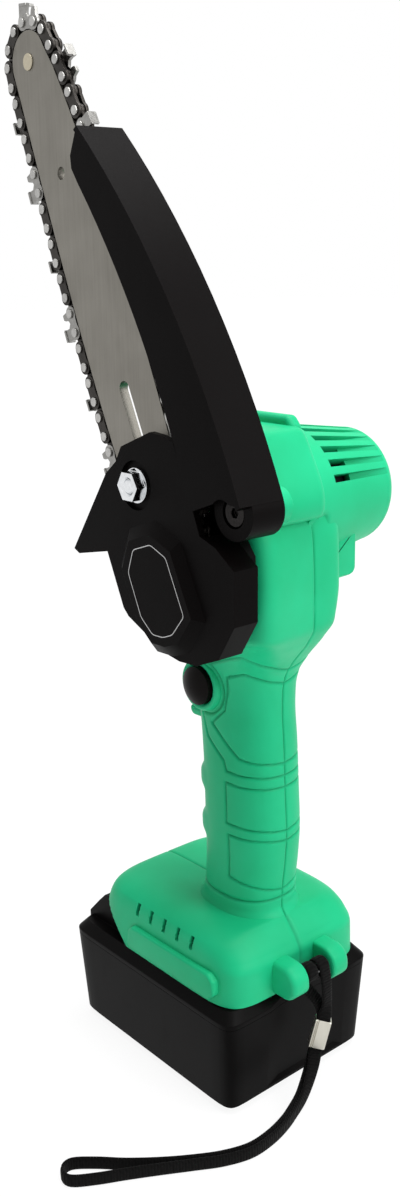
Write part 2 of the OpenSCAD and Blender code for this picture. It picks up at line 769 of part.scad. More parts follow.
rim_y = mount_y - chip_gap;
nut_recess = 1.4;
nut_seat = cover_out + nut_recess;
nut_h = 5;

module bar_stud() {
  color(steel) {
    rod_y(stud_x, stud_z, nut_seat - nut_h + 0.9, case_y + 2, stud_d / 2);
    translate([stud_x, nut_seat - nut_h + 0.3, stud_z]) rotate([-90, 0, 0])
      cylinder(h = 0.7, r1 = stud_d / 2 - 0.5, r2 = stud_d / 2);
    rod_y(stud_x, stud_z, case_y, case_y + wall, stud_head_r);
  }
}

module bar_nut() {
  color(chrome) difference() {
    union() {
      rod_y(stud_x, stud_z, nut_seat - 1.4, nut_seat, nut_flange_d / 2);
      translate([stud_x, nut_seat - nut_h, stud_z]) rotate([-90, 0, 0])
        cylinder(h = nut_h - 1.4, r = nut_af / 2 / cos(30), $fn = 6);
    }
    rod_y(stud_x, stud_z, -80, 0, stud_d / 2 + run_fit);
    translate([stud_x, nut_seat - nut_h - 0.05, stud_z]) rotate([-90, 0, 0])
      cylinder(h = 1.1, r1 = stud_d / 2 + 1, r2 = stud_d / 2);
  }
}

// Guide bar

// Outline of the bar, drawn in by a distance from the rivet line
bar_tail = reach - tail_reach;
bar_steps = 20;
module bar_outline(inset) {
  polygon(concat(
    [for (i = [0:bar_steps]) let (a = bar_tail * (1 - i / bar_steps)) [-(front_half(a) - inset), -a]],
    [for (i = [1:turn_steps - 1]) let (t = 180 - 180 * i / turn_steps)
      (nose_r - inset) * [cos(t), sin(t)]],
    [for (i = [0:bar_steps]) let (a = bar_tail * i / bar_steps) [back_half(a) - inset, -a]]));
}

module slot_outline() {
  a0 = reach - slot_reach;
  a1 = reach - stud_reach + 6;
  translate([-slot_w / 2, -a1]) square([slot_w, a1 - a0]);
  translate([0, -a0]) circle(slot_w / 2);
  translate([0, -a1]) circle(slot_w / 2);
}

tension_a = reach - tail_reach - 6;
tension_p = 6.2;
tension_pin_d = 3;

module bar_holes() {
  slot_outline();
  translate([0, -bar_hole_reach]) circle(bar_hole_d / 2);
  for (s = [-1, 1]) translate([s * tension_p, -tension_a]) circle(tension_pin_d / 2 + seat);
  circle(nose_pin_r + seat);
}

nose_pin_r = 1.8;

module bar_side(y0, y1) {
  across(y0, y1) on_bar() difference() {
    bar_outline(bar_inset);
    bar_holes();
  }
}

module bar_left_plate() {
  color(steel) bar_side(bar_left, bar_y - core_t / 2);
}

module bar_right_plate() {
  color(steel) bar_side(bar_y + core_t / 2, bar_right);
}

nose_tip_r = nose_r - tang_depth - 0.5;
module bar_core_plate() {
  color(steel) across(bar_y - core_t / 2, bar_y + core_t / 2) on_bar() difference() {
    bar_outline(tang_depth + groove_clear);
    bar_holes();
    circle(nose_tip_r + 1);
  }
}

module nose_sprocket() {
  t = core_t / 2 - 0.1;
  color(dark_steel) across(bar_y - t, bar_y + t) on_bar() difference() {
    star_outline(sprocket_teeth, nose_tip_r, nose_tip_r - 2.4);
    circle(nose_pin_r + run_fit);
  }
}

module nose_rivet() {
  color([0.80, 0.76, 0.66]) {
    rod_y(nose_x, nose_z, bar_left - 0.5, bar_right + 0.5, nose_pin_r);
    rod_y(nose_x, nose_z, bar_left - 0.5, bar_left, nose_rivet_d / 2);
    rod_y(nose_x, nose_z, bar_right, bar_right + 0.5, nose_rivet_d / 2);
  }
}

// Saw chain

// Waisted plate of a tie strap with its two holes
// Waist under a strap's middle, where it passes over the curve of the nose
waist_d = 0.45;
module strap_waist() {
  b = -strap_h / 2;
  polygon([[-2.3, b - 1], [-2.3, b], [-1.2, b + waist_d], [1.2, b + waist_d], [2.3, b], [2.3, b - 1]]);
}

module strap_outline(half) {
  difference() {
    union() {
      for (s = [-1, 1]) translate([s * half, 0]) circle(strap_h / 2);
      translate([-half, -strap_h / 2]) square([2 * half, strap_h - 0.5]);
    }
    strap_waist();
    for (s = [-1, 1]) translate([s * half, 0]) circle(rivet_d / 2 + run_fit);
  }
}

// Drive link with its tang
module drive_outline(half) {
  difference() {
    union() {
      for (s = [-1, 1]) translate([s * half, 0]) circle(strap_h / 2 - 0.4);
      translate([-half, -strap_h / 2 + 0.4]) square([2 * half, strap_h - 1.4]);
      polygon([[-half, -1], [-half + 1.2, -tang_depth], [half - 2, -tang_depth], [half + 0.6, -1]]);
    }
    for (s = [-1, 1]) translate([s * half, 0]) circle(rivet_d / 2 + run_fit);
  }
}

// Cutter plate: depth gauge leading, tooth trailing, gullet between
gauge_h = 4.6;
module cutter_outline(half) {
  b = strap_h / 2;
  difference() {
    union() {
      for (s = [-1, 1]) translate([s * half, 0]) circle(b);
      polygon([
        [-half - 1.8, 0], [-half - 2, cutter_h - 1], [-half - 1.4, cutter_h], [-0.4, cutter_h],
        [-0.9, cutter_h - 1.6], [-1, 2.8], [0.4, 1.6], [1.8, 2.2], [2, gauge_h - 1], [2.6, gauge_h],
        [half + 1, gauge_h], [half + 1.6, 0], [half, -b], [-half, -b]
      ]);
    }
    strap_waist();
    for (s = [-1, 1]) translate([s * half, 0]) circle(rivet_d / 2 + run_fit);
  }
}

// The four strap places of a cycle: left cutter, tie, right cutter, tie
// One more tie follows after the third whole cycle up the front run, where the loop was joined
join_at = 12;
function strap_kind(m) = m < join_at ? m % 4
  : m == join_at || m == drive_links - 1 ? 1 : (m - join_at - 1) % 4;
plate_left = [bar_y - strap_out, bar_y - strap_in];
plate_right = [bar_y + strap_in, bar_y + strap_out];
top_plate_t = 0.9;
top_plate_w = 3.4;

module chain_drive_links() {
  color(dark_steel) for (k = [0:drive_links - 1])
    across(bar_y - drive_t / 2, bar_y + drive_t / 2) at_link(2 * k) drive_outline(link_half(2 * k));
}

module chain_tie_straps() {
  color(dark_steel) for (m = [0:drive_links - 1]) let (k = 2 * m + 1, q = strap_kind(m)) {
    if (q != 0) across(plate_left[0], plate_left[1]) at_link(k) strap_outline(link_half(k));
    if (q != 2) across(plate_right[0], plate_right[1]) at_link(k) strap_outline(link_half(k));
  }
}

module cutter(k, plate, inward) {
  h = link_half(k);
  across(plate[0], plate[1]) at_link(k) cutter_outline(h);
  y0 = inward > 0 ? plate[0] - 0.3 : plate[1] - top_plate_w + 0.3;
  across(y0, y0 + top_plate_w) at_link(k) translate([-h - 1.6, cutter_h - top_plate_t])
    square([h + 0.8, top_plate_t]);
}

module chain_left_cutters() {
  color(steel) for (m = [0:drive_links - 1]) if (strap_kind(m) == 0) cutter(2 * m + 1, plate_left, 1);
}

module chain_right_cutters() {
  color(steel) for (m = [0:drive_links - 1]) if (strap_kind(m) == 2) cutter(2 * m + 1, plate_right, -1);
}

module chain_rivets() {
  color(chrome) for (k = [0:rivets - 1]) let (p = rivet_at(k)) {
    rod_y(p[0], p[1], plate_left[0] - rivet_head_t, plate_right[1] + rivet_head_t, rivet_d / 2);
    rod_y(p[0], p[1], plate_left[0] - rivet_head_t, plate_left[0], rivet_head_d / 2);
    rod_y(p[0], p[1], plate_right[1], plate_right[1] + rivet_head_t, rivet_head_d / 2);
  }
}

// Drive train

sprocket_tip = sprocket_r - tang_depth - 0.6;
bearing_od = 19;
bearing_w = 6;
spindle_end = bar_y - 4.6;
spindle_back = -12;

module drive_sprocket() {
  color(dark_steel) difference() {
    union() {
      across(bar_y - 2, bar_y + 2) at_spindle()
        star_outline(sprocket_teeth, sprocket_tip, sprocket_tip - 1.8);
      rod_y(spindle_x, spindle_z, bar_y + 2, mount_y + 0.5, spindle_d / 2 + 1.8);
    }
    rod_y(spindle_x, spindle_z, -80, 0, spindle_d / 2 + seat);
  }
}

module sprocket_clip() {
  color(steel) across(bar_y - 3, bar_y - 2.1) at_spindle() difference() {
    circle(spindle_d / 2 + 1.6);
    circle(spindle_d / 2 - 0.4);
    translate([-1.2, 0]) square([2.4, 20]);
  }
}

module output_spindle() {
  color(steel) difference() {
    rod_y(spindle_x, spindle_z, spindle_end, spindle_back, spindle_d / 2);
    // Groove for the clip
    across(bar_y - 3.1, bar_y - 2) at_spindle() difference() {
      circle(spindle_d);
      circle(spindle_d / 2 - 0.5);
    }
  }
}

module drive_gear() {
  color(steel) across(gear_y0, gear_y1) at_spindle() difference() {
    gear_outline(gear_teeth, motor_angle + (gear_teeth % 2 == 0 ? 180 / gear_teeth : 180 / gear_teeth));
    circle(spindle_d / 2 + seat);
    for (t = [0:60:300]) rotate(t) translate([11.5, 0]) circle(2.6);
  }
}

module bearing(y0, od) {
  color(chrome) difference() {
    rod_y(spindle_x, spindle_z, y0, y0 + bearing_w, od / 2);
    rod_y(spindle_x, spindle_z, y0 - 1, y0 + bearing_w + 1, spindle_d / 2 + run_fit);
    // Recessed shields
    for (y = [y0 - 1, y0 + bearing_w - 0.5]) difference() {
      rod_y(spindle_x, spindle_z, y, y + 1.5, od / 2 - 1.6);
      rod_y(spindle_x, spindle_z, y - 1, y + 3, spindle_d / 2 + 1.6);
    }
  }
}

front_bearing_y = case_y - 1.6;
rear_bearing_y = gear_y1 + 1.4;
module front_bearing() {
  bearing(front_bearing_y, bearing_od);
}

module rear_bearing() {
  bearing(rear_bearing_y, bearing_od - 3);
}

// Gear case: a round pot for the drive gear joined to the motor's flange
gear_room = gear_module * (gear_teeth / 2 + 0.8) + 0.7;
case_wall = 1.4;
barrel_sides = 44;
flange_r = motor_d / 2;
gear_boss_r = bearing_od / 2 + 1.5;
stud_head_r = 4.4;
module gear_case_outline(grow) {
  at_spindle() circle(gear_room + case_wall + grow);
  translate([motor_x, motor_z]) circle(flange_r + grow);
}

module gear_case() {
  color([0.60, 0.61, 0.62]) difference() {
    union() {
      intersection() {
        across(case_y + wall + clear, gearbox_back) gear_case_outline(0);
        union() {
          grip_loft(wall + 0.75 * clear);
          drum(wall + 0.75 * clear);
        }
      }
      rod_y(spindle_x, spindle_z, case_y, case_y + wall + clear + 1, gear_boss_r);
    }
    // Gear room and pinion room
    across(gear_y0 - 1, gear_y1 + 1) {
      at_spindle() circle(gear_room);
      translate([motor_x, motor_z]) circle(gear_module * (pinion_teeth / 2 + 0.8) + 1);
    }
    // Bearing seats
    rod_y(spindle_x, spindle_z, -60, front_bearing_y + bearing_w, bearing_od / 2 + seat);
    rod_y(spindle_x, spindle_z, gear_y0 - 2, gear_y0, bearing_od / 2 - 2);
    rod_y(spindle_x, spindle_z, gear_y1, rear_bearing_y + bearing_w, bearing_od / 2 - 1.5 + seat);
    // Motor nose and screw holes
    rod_y(motor_x, motor_z, gear_y1, 0, 6.5);
    for (s = [-1, 1]) rod_y(motor_x + s * 12.5, motor_z, -60, 0, 1.6);
    // Back cut so that the bar stud's head has room
    rod_y(stud_x, stud_z, case_y - 1, case_y + wall + 1.6, stud_head_r + clear);
  }
}

module motor_pinion() {
  color(brass) across(gear_y0 - 0.4, gear_y1 + 0.4) translate([motor_x, motor_z]) difference() {
    gear_outline(pinion_teeth, motor_angle + 180);
    circle(shaft_d / 2 + seat);
  }
}

can_t = 1.6;
module motor_can() {
  color(chrome) difference() {
    union() {
      rod_y(motor_x, motor_z, motor_y0, motor_y1, motor_d / 2);
      rod_y(motor_x, motor_z, motor_y0 - 3.4, motor_y0 + 1, 6.2);
    }
    rod_y(motor_x, motor_z, motor_y0 + can_t, motor_y1 + 1, motor_d / 2 - can_t);
    rod_y(motor_x, motor_z, motor_y0 - 5, motor_y1, shaft_d / 2 + run_fit);
    for (s = [-1, 1]) rod_y(motor_x + s * 12.5, motor_z, motor_y0 - 1, motor_y0 + 3, 1.3);
  }
}

module motor_end_bell() {
  color(black) difference() {
    rod_y(motor_x, motor_z, motor_y1, motor_y1 + bell_l, motor_d / 2 - 0.6);
    rod_y(motor_x, motor_z, motor_y1 - 1, motor_y1 + bell_l - 2.5, motor_d / 2 - 3.4);
    rod_y(motor_x, motor_z, motor_y1, motor_y1 + bell_l + 1, shaft_d / 2 + run_fit);
    for (s = [-1, 1]) block([motor_x + s * 11 - 2.5, motor_y1 - 1, motor_z - 20],
      [motor_x + s * 11 + 2.5, motor_y1 + 3, motor_z + 20]);
  }
}

// Three wound poles and the commutator, on the shaft
pole_r = motor_d / 2 - can_t - 2.5;
module motor_armature() {
  y0 = motor_y0 + can_t + 7;
  y1 = motor_y1 - 4;
  color([0.72, 0.42, 0.24]) {
    across(y0, y1) translate([motor_x, motor_z]) difference() {
      union() {
        circle(6);
        for (t = [0:120:240]) rotate(t) translate([0, -2.4]) square([pole_r - 0.3, 4.8]);
        for (t = [0:120:240]) rotate(t) intersection() {
          circle(pole_r);
          translate([pole_r - 2.3, -8]) square([6, 16]);
        }
      }
      circle(shaft_d / 2 + seat);
    }
    difference() {
      rod_y(motor_x, motor_z, y1, motor_y1 + 2, 4.2);
      rod_y(motor_x, motor_z, y1 - 1, motor_y1 + 3, shaft_d / 2 + seat);
    }
  }
}

module motor_shaft() {
  color(steel) rod_y(motor_x, motor_z, gear_y0 - 0.8, motor_y1 + bell_l - 0.4 + shaft_end, shaft_d / 2);
}

module motor_fan() {
  y0 = motor_y0 + can_t + 0.8;
  color(black) across(y0, y0 + 4.4) translate([motor_x, motor_z]) difference() {
    union() {
      circle(4.4);
      for (t = [0:40:320]) rotate(t) translate([0, -0.6]) square([motor_d / 2 - can_t - 1.6, 1.2]);
    }
    circle(shaft_d / 2 + seat);
  }
}

// Two curved magnets against the can's wall
module motor_magnets() {
  ro = motor_d / 2 - can_t;
  color(dark_steel) across(motor_y0 + can_t + 6, motor_y1 - 3) translate([motor_x, motor_z]) difference() {
    circle(ro - seat);
    circle(ro - 2.1);
    for (s = [-1, 1]) translate([s * 14 - 4, -30]) square([8, 60]);
  }
}

module motor_screws() {
  color(dark_steel) for (s = [-1, 1]) {
    rod_y(motor_x + s * 12.5, motor_z, motor_y0 - 2.4, motor_y0 + can_t, 1.25);
    rod_y(motor_x + s * 12.5, motor_z, motor_y0 - 4.2, motor_y0 - 2.4, 1.5);
  }
}

// Bar tensioner: a screw along the bar and the pin block that it moves
tension_y = mount_y + 1.6;
module tension_bore(r) {
  translate([0, tension_y, 0]) rotate([90, 0, 0]) on_bar()
    translate([tension_p, -(tension_a + 9)]) rotate([-90, 0, 0]) cylinder(h = 14, r = r);
}

module tension_screw() {
  color(steel) tension_bore(1.1);
}

module tension_pin() {
  color(brass) difference() {
    union() {
      across(bar_y - 0.4, mount_y + 3.2) on_bar()
        translate([tension_p, -tension_a]) circle(tension_pin_d / 2);
      across(mount_y + 0.2, mount_y + 3.2) on_bar()
        translate([tension_p - 1.9, -tension_a - 2.4]) square([3.8, 4.8]);
    }
    tension_bore(1.1 + run_fit);
  }
}

// Chain guard

// Guard corners, measured from its pivot
guard_tip = [-68.2, 118];
guard_heel = [8.4, 3.5];
guard_lip = [-69, 100.6];
guard_toe = [-14.8, -1];
guard_sag = 7.2;
guard_edge_sag = 5;
guard_steps = 14;
module at_guard() {
  translate([guard_x, guard_z]) children();
}

// Outer arc of the guard's back, and the free edge of its sides
guard_arc = bow(guard_tip, guard_heel, guard_sag, guard_steps);
guard_edge = bow(guard_lip, guard_toe, guard_edge_sag, guard_steps);
guard_run = (guard_heel - guard_tip) / norm(guard_heel - guard_tip);
guard_in = guard_wall * [guard_run[1], -guard_run[0]];

module guard_wall_outline() {
  polygon(concat(guard_arc, [[-1.2, 4.1]], reversed(guard_edge), [[-72, 105], [-72.4, 109]]));
}

module guard_back_outline() {
  polygon(concat(guard_arc, [for (p = reversed(guard_arc)) p + guard_in]));
}

module chain_guard() {
  color(black) difference() {
    union() {
      across(guard_left, guard_left + guard_wall) at_guard() guard_wall_outline();
      across(guard_right - guard_wall, guard_right) at_guard() {
        guard_wall_outline();
        circle(guard_boss_r);
      }
      across(guard_left, guard_right) at_guard() guard_back_outline();
      rod_y(guard_x, guard_z, guard_boss_y, guard_right, guard_boss_r);
    }
    rod_y(guard_x, guard_z, -80, 0, guard_screw_r + run_fit);
    // Counterbore for the screw's head and pocket for the spring
    rod_y(guard_x, guard_z, -80, guard_boss_y + 3, 5);
    rod_y(guard_x, guard_z, guard_right - 5, 0, 6.6);
  }
}

module guard_screw() {
  color(dark_steel) difference() {
    union() {
      rod_y(guard_x, guard_z, guard_boss_y + 0.8, case_y + lug_l - 0.6, guard_screw_r);
      rod_y(guard_x, guard_z, guard_boss_y + 0.4, guard_boss_y + 3 - clear, 4.4);
    }
    translate([guard_x, guard_boss_y - 1, guard_z]) rotate([-90, 0, 0]) cylinder(h = 2.8, r = 1.7, $fn = 6);
  }
}

module guard_spring() {
  color(steel) translate([guard_x, guard_right - 4.4, guard_z]) rotate([-90, 0, 0]) coil(4.9, 0.9, 4.6, 3);
}

// Trigger, lock and switch

module trigger() {
  h = trigger_h / 2;
  color(black) difference() {
    translate([0, 0, trigger_z]) across(-trigger_w / 2, trigger_w / 2) difference() {
      polygon([[trigger_back, -h], [trigger_back, h], [trigger_front + 6, h], [trigger_front + 2, h - 2.4],
        [trigger_front, h - 6], [trigger_front + 2.6, -0.5], [trigger_front + 0.6, -h + 3],
        [trigger_front + 0.8, -h + 1.4], [trigger_front + 3.6, -h]]);
      translate([trigger_front - 14.6, 1]) circle(16.8);
    }
    translate([-3, 0, trigger_z]) rotate([0, 90, 0]) cylinder(h = 20, r = trigger_bore_r);
  }
}

module trigger_spring() {
  color(steel) translate([switch_x, 0, trigger_z]) rotate([0, -90, 0]) coil(2.5, 0.7, 5.8, 5);
}

module lock_button() {
  color(black) difference() {
    turned_y(button_x, button_z) difference() {
      union() {
        translate([0, button_out + 2.4]) square([button_d / 2, button_in - button_out - 2.4]);
        intersection() {
          translate([0, button_out + 13]) circle(13);
          translate([0, button_out]) square([button_d / 2, 3]);
        }
      }
      translate([-40, -60]) square([40, 80]);
    }
    rod_y(button_x, button_z, -17, 0, 3.3);
  }
}

module lock_spring() {
  color(steel) translate([button_x, switch_side, button_z]) rotate([90, 0, 0]) coil(2.5, 0.7, 4.5, 4);
}

switch_w = 15;
module trigger_switch() {
  color(black) difference() {
    union() {
      block([switch_x, switch_side, 128], [31, switch_side + switch_w, 166.5]);
      block([13, switch_side + 2, 122], [28, switch_side + switch_w - 2, 128]);
    }
    for (x = [16, 25]) block([x - 1.6, -1.4, 121], [x + 1.6, 4.4, 124]);
  }
}

// Insulated leads, as pairs, along hand-chosen routes
lead_r = 0.9;
lead_gap = 1.4;
lead_drop = motor_d / 2 + lead_r + 0.15;
supply_route = [[33, 3, block_top + 0.1], [32, 3, 60], [29, 3, 67], [25.4, 3, 78], [23, 3, 90], [23, 3, 106],
  [25, 1.5, 117], [25, 1.5, 121.8]];
motor_route = [[21, 5, 166.6], [21, 6.4, 172], [22, 7.6, 180], [24, 8, 190], [motor_x, 8, 198],
  [motor_x, 10, motor_z - lead_drop - 2.4], [motor_x, 15, motor_z - lead_drop - 0.6],
  [motor_x, 22, motor_z - lead_drop], [motor_x, motor_y1 + 3, motor_z - lead_drop]];
module lead_pair(route, gap) {
  for (s = [-1, 1])
    swept([for (p = route) p + [s * gap, 0, 0]], [for (p = route) [1, 0, 0]], lead_r, lead_r, 8);
}

module supply_leads() {
  color([0.75, 0.10, 0.08]) lead_pair(supply_route, lead_gap);
}

module motor_leads() {
  color([0.75, 0.10, 0.08]) lead_pair(motor_route, lead_gap);
}

blade_y = [-14, -5, 5, 14];
blade_t = 1;
module terminal_block() {
  color(black) difference() {
    block([30, -18, rail_z1 + clear + 0.2], [41, 18, block_top]);
    for (y = blade_y) block([29, y - blade_t / 2 - seat, 40], [36, y + blade_t / 2 + seat, block_top - 2]);
  }
}

module terminal_blades() {
  color(brass) for (y = blade_y)
    block([24, y - blade_t / 2, rail_z0 + 0.2], [35.9, y + blade_t / 2, block_top - 2.1]);
}

// Battery

function case_share(z) = max(0, min(1, (z - case_z0) / battery_h));
function case_back(z) = battery_l / 2 + battery_draft_x * case_share(z);
function case_ring(z, in, square = 18) = let (
  hx = case_back(z) - in, hy = battery_w / 2 + battery_draft_y * case_share(z) - in)
  ring(z, -hx, hx, -hy, hy, square, 32);
edge_cut = 3;
// Shallow recess down the battery's back, with sloped sides
recess_y0 = -9.6;
recess_y1 = 20.6;
recess_d = 1.2;
module recess_slice(y, d) {
  z0 = case_z0 + 4;
  z1 = foot_z + 20;
  lean = (case_back(case_z1) - case_back(z0)) / (case_z1 - z0);
  low = case_back(z0 + 2) - d;
  across(y, y + 0.02) polygon([[case_back(z0) + 0.1, z0], [80, z0], [80, z1],
    [low + lean * (z1 - z0 - 2), z1], [low, z0 + 2]]);
}
module back_recess() {
  hull() {
    recess_slice(recess_y0 - 7.4, -0.06);
    recess_slice(recess_y0, recess_d);
    recess_slice(recess_y1, recess_d);
    recess_slice(recess_y1 + 4, -0.06);
  }
}

module battery_case() {
  color(black) difference() {
    loft([case_ring(case_z0, edge_cut), case_ring(case_z0 + edge_cut, 0), case_ring(case_top, 0)]);
    loft([case_ring(case_floor, battery_wall, 30), case_ring(case_z1, battery_wall, 30)]);
    for (p = battery_screw_places) {
      translate([p[0], p[1], case_z0 - 1]) cylinder(h = 2.4, r = 2.6);
      translate([p[0], p[1], case_z0 - 1]) cylinder(h = 6, r = battery_screw_r + seat);
    }
    back_recess();
  }
}

// Screws from below that hold the cell holder down
battery_screw_r = 1.3;
battery_screw_places = [for (x = [-30, 30], y = [-1, 1] * (cell_l / 2 - 8.5)) [x, y]];
module battery_screws() {
  color(dark_steel) for (p = battery_screw_places) {
    translate([p[0], p[1], case_z0 + 0.3]) cylinder(h = 1, r = 2.4);
    translate([p[0], p[1], case_z0 + 1.2]) cylinder(h = 9, r = battery_screw_r);
  }
}

// Front block's outline in x and z: it leans against the foot's sloped front
block_half = 30;
latch_half = 12;
latch_x0 = -45;
latch_x1 = -38.6;
latch_z0 = foot_z + 2.6;
latch_travel = 3;
latch_floor = latch_z0 - latch_travel - 2.6;
module front_block_outline() {
  back = clear * 2;
  polygon([[-47.6, case_top], [-47.4, foot_z + 1.2], [-40.4, foot_z + 8.6],
    [slope_top[0] - back - 1.5, slope_top[1] - 3.4], [slope_top[0] - back + 1.4, slope_top[1] - 3],
    slope_end - [back + 0.6, 0], [slope_end[0] - back - 0.6, case_top]]);
}

module battery_lid() {
  color(black) difference() {
    union() {
      loft([case_ring(case_top, 0), case_ring(case_z1, 0), case_ring(case_z1 + shoulder_h, shoulder_in)]);
      intersection() {
        across(-block_half, block_half) front_block_outline();
        block([-60, -60, case_z1 - 1], [60, 60, foot_z + 46]);
      }
      // Neck and rail that slide into the foot
      block([-30, -neck_half, case_z1], [rail_back, neck_half, rail_z0 + 0.5]);
      block([-14, -rail_half, rail_z0], [rail_back, rail_half, rail_z1]);
    }
    // Pocket of the latch, open at the top
    block([latch_x0 - 0.2, -latch_half - 0.2, latch_floor], [latch_x1 + 0.2, latch_half + 0.2, 80]);
    back_recess();
    // Slots that take the blades, open to the back
    for (y = blade_y) block([22, y - contact_half, rail_z0 - 0.6], [rail_back + 2, y + contact_half, 60]);
  }
}

contact_half = 1.4;
module battery_latch() {
  color(black) difference() {
    across(-latch_half, latch_half) polygon([[latch_x0, latch_z0], [latch_x1, latch_z0],
      [latch_x1, foot_z + 11.6], [latch_x1 - 1.4, foot_z + 12.4], [latch_x0 + 0.6, foot_z + 6.6],
      [latch_x0, foot_z + 5.6]]);
    translate([(latch_x0 + latch_x1) / 2, 0, latch_z0 - 1]) cylinder(h = 4.4, r = 2.6);
  }
}

module latch_spring() {
  color(steel) translate([(latch_x0 + latch_x1) / 2, 0, latch_floor]) coil(1.8, 0.6, 3.4, 3);
}

module battery_cells() {
  color([0.20, 0.35, 0.62]) for (i = [-2:2]) {
    rod_y(i * cell_pitch, cell_z, -cell_l / 2, cell_l / 2 - 1, cell_d / 2);
    rod_y(i * cell_pitch, cell_z, cell_l / 2 - 1, cell_l / 2, cell_d / 2 - 5);
  }
}

// Two plastic frames that the cells' ends sit in
holder_half = battery_l / 2 - battery_wall - 2 * seat;
holder_y0 = cell_l / 2 - 11.5;
holder_y1 = cell_l / 2 - 5.5;
module cell_holder() {
  color([0.85, 0.85, 0.83]) for (s = [-1, 1]) difference() {
    block([-holder_half, s > 0 ? holder_y0 : -holder_y1, case_floor],
      [holder_half, s > 0 ? holder_y1 : -holder_y0, cell_z + 3]);
    for (i = [-2:2]) rod_y(i * cell_pitch, cell_z, -cell_l, cell_l, cell_d / 2 + run_fit);
    for (p = battery_screw_places)
      translate([p[0], p[1], case_z0]) cylinder(h = 11, r = battery_screw_r + seat);
  }
}

strip_t = 0.3;
module cell_strips() {
  color([0.80, 0.80, 0.78]) {
    for (i = [-2, 0]) block([i * cell_pitch - 4, cell_l / 2, cell_z - 4],
      [(i + 1) * cell_pitch + 4, cell_l / 2 + strip_t, cell_z + 4]);
    for (i = [-1, 1]) block([i * cell_pitch - 4, -cell_l / 2 - strip_t, cell_z - 4],
      [(i + 1) * cell_pitch + 4, -cell_l / 2, cell_z + 4]);
  }
}

board_z = cell_z - cell_d / 2 - 7.9;
board_half = holder_y0 - 0.6;
module battery_board() {
  color([0.10, 0.35, 0.18]) {
    block([-36, -board_half, board_z], [36, board_half, board_z + 1.6]);
    for (x = [-24, -8, 8, 24]) block([x - 3.5, -6, board_z + 1.6], [x + 3.5, 4, board_z + 3.2]);
    // Legs that stand on the case floor
    for (x = [-32, 32], y = [-1, 1] * (board_half - 4.4))
      translate([x, y, case_floor]) cylinder(h = board_z - case_floor, r = 2);
  }
}

module battery_contacts() {
  color(brass) for (y = blade_y, s = [-1, 1]) let (m = y + s * (contact_half - 0.35))
    block([23, m - 0.25, rail_z0 - 0.5], [34, m + 0.25, rail_z1 - 0.4]);
}

// Wrist strap

module strap_pin() {
  color(steel) rod_y(pin_x, pin_z, -ear_out + 1, ear_out - 1, strap_pin_d / 2);
}

// Ferrule: a pressed sleeve round the strap's two layers, tilted across the back
ferrule_mid = [57.3, 1.0, 25.9];
ferrule_tilt = 13;
ferrule_turn = 44;
ferrule_l = 12.2;
ferrule_wall = 0.45;
ferrule_slack = 0.2;
layer = strand_t / 2 + 0.25;
ferrule_level = [sin(ferrule_turn), cos(ferrule_turn), 0];
ferrule_face = [cos(ferrule_turn), -sin(ferrule_turn), 0];
ferrule_up = sin(ferrule_tilt) * ferrule_level + [0, 0, cos(ferrule_tilt)];
ferrule_side = cos(ferrule_tilt) * ferrule_level - [0, 0, sin(ferrule_tilt)];

module strap_ferrule() {
  w = strand_w + 2 * ferrule_slack;
  d = 2 * (layer + strand_t / 2) + 2 * ferrule_slack;
  color([0.86, 0.84, 0.78]) translate(ferrule_mid)
    rotate([0, 0, -ferrule_turn]) rotate([-ferrule_tilt, 0, 0]) difference() {
    cube([d + 2 * ferrule_wall, w + 2 * ferrule_wall, ferrule_l], center = true);
    cube([d, w, 2 * ferrule_l], center = true);
  }
}

// Strap: both ends meet in the ferrule; it laps the pin twice and runs doubled over the floor.
// Each station is a point and the direction of the strap's width there.
lap = strap_pin_d / 2 + strand_t / 2 + 0.35;
lane = strand_w / 2 + 0.5;
function in_ferrule(t, s) = [ferrule_mid + ferrule_up * t + s * layer * ferrule_face, ferrule_side];
function on_pin(t, y) = [[pin_x + lap * cos(t), y, pin_z + lap * sin(t)], [0, 1, 0]];
// Middle line of the doubled strap from the ferrule down to the floor and along it, on its edge,
// with the direction of its width
edge_z = strand_w / 2 + 0.1;
floor_line = [
  [[57.2, -3, 13.4], [0.4, 0.7, -0.55]], [[58.5, -7, 8.5], [0.2, 0.5, -0.8]],
  [[60.2, -12, 4.9], [0.05, 0.3, -0.95]], [[62, -18, edge_z + 0.5], [0, 0.1, -1]],
  [[64, -24, edge_z], [0, 0, -1]], [[66, -33, edge_z], [0, 0, -1]],
  [[66.2, -43, edge_z], [0, 0, -1]], [[62.8, -53, edge_z], [0, 0, -1]], [[57.3, -62.4, edge_z], [0, 0, -1]],
  [[51, -72, edge_z], [0, 0, -1]], [[44, -82, edge_z], [0, 0, -1]], [[38, -90, edge_z], [0, 0, -1]]
];
floor_last = len(floor_line) - 1;
// Half the distance between the two strands, which opens towards the loop at the end
function apart(i) = layer + 0.1 + [0, 0.4, 1.4, 2.8][max(0, i - floor_last + 3)];
function on_floor(i, s) = let (
  a = floor_line[max(i - 1, 0)][0], b = floor_line[min(i + 1, floor_last)][0],
  t = (b - a) / norm(b - a), w0 = floor_line[i][1], w1 = w0 - t * (w0 * t), w = w1 / norm(w1))
  [floor_line[i][0] + s * apart(i) * cross(t, w), w];
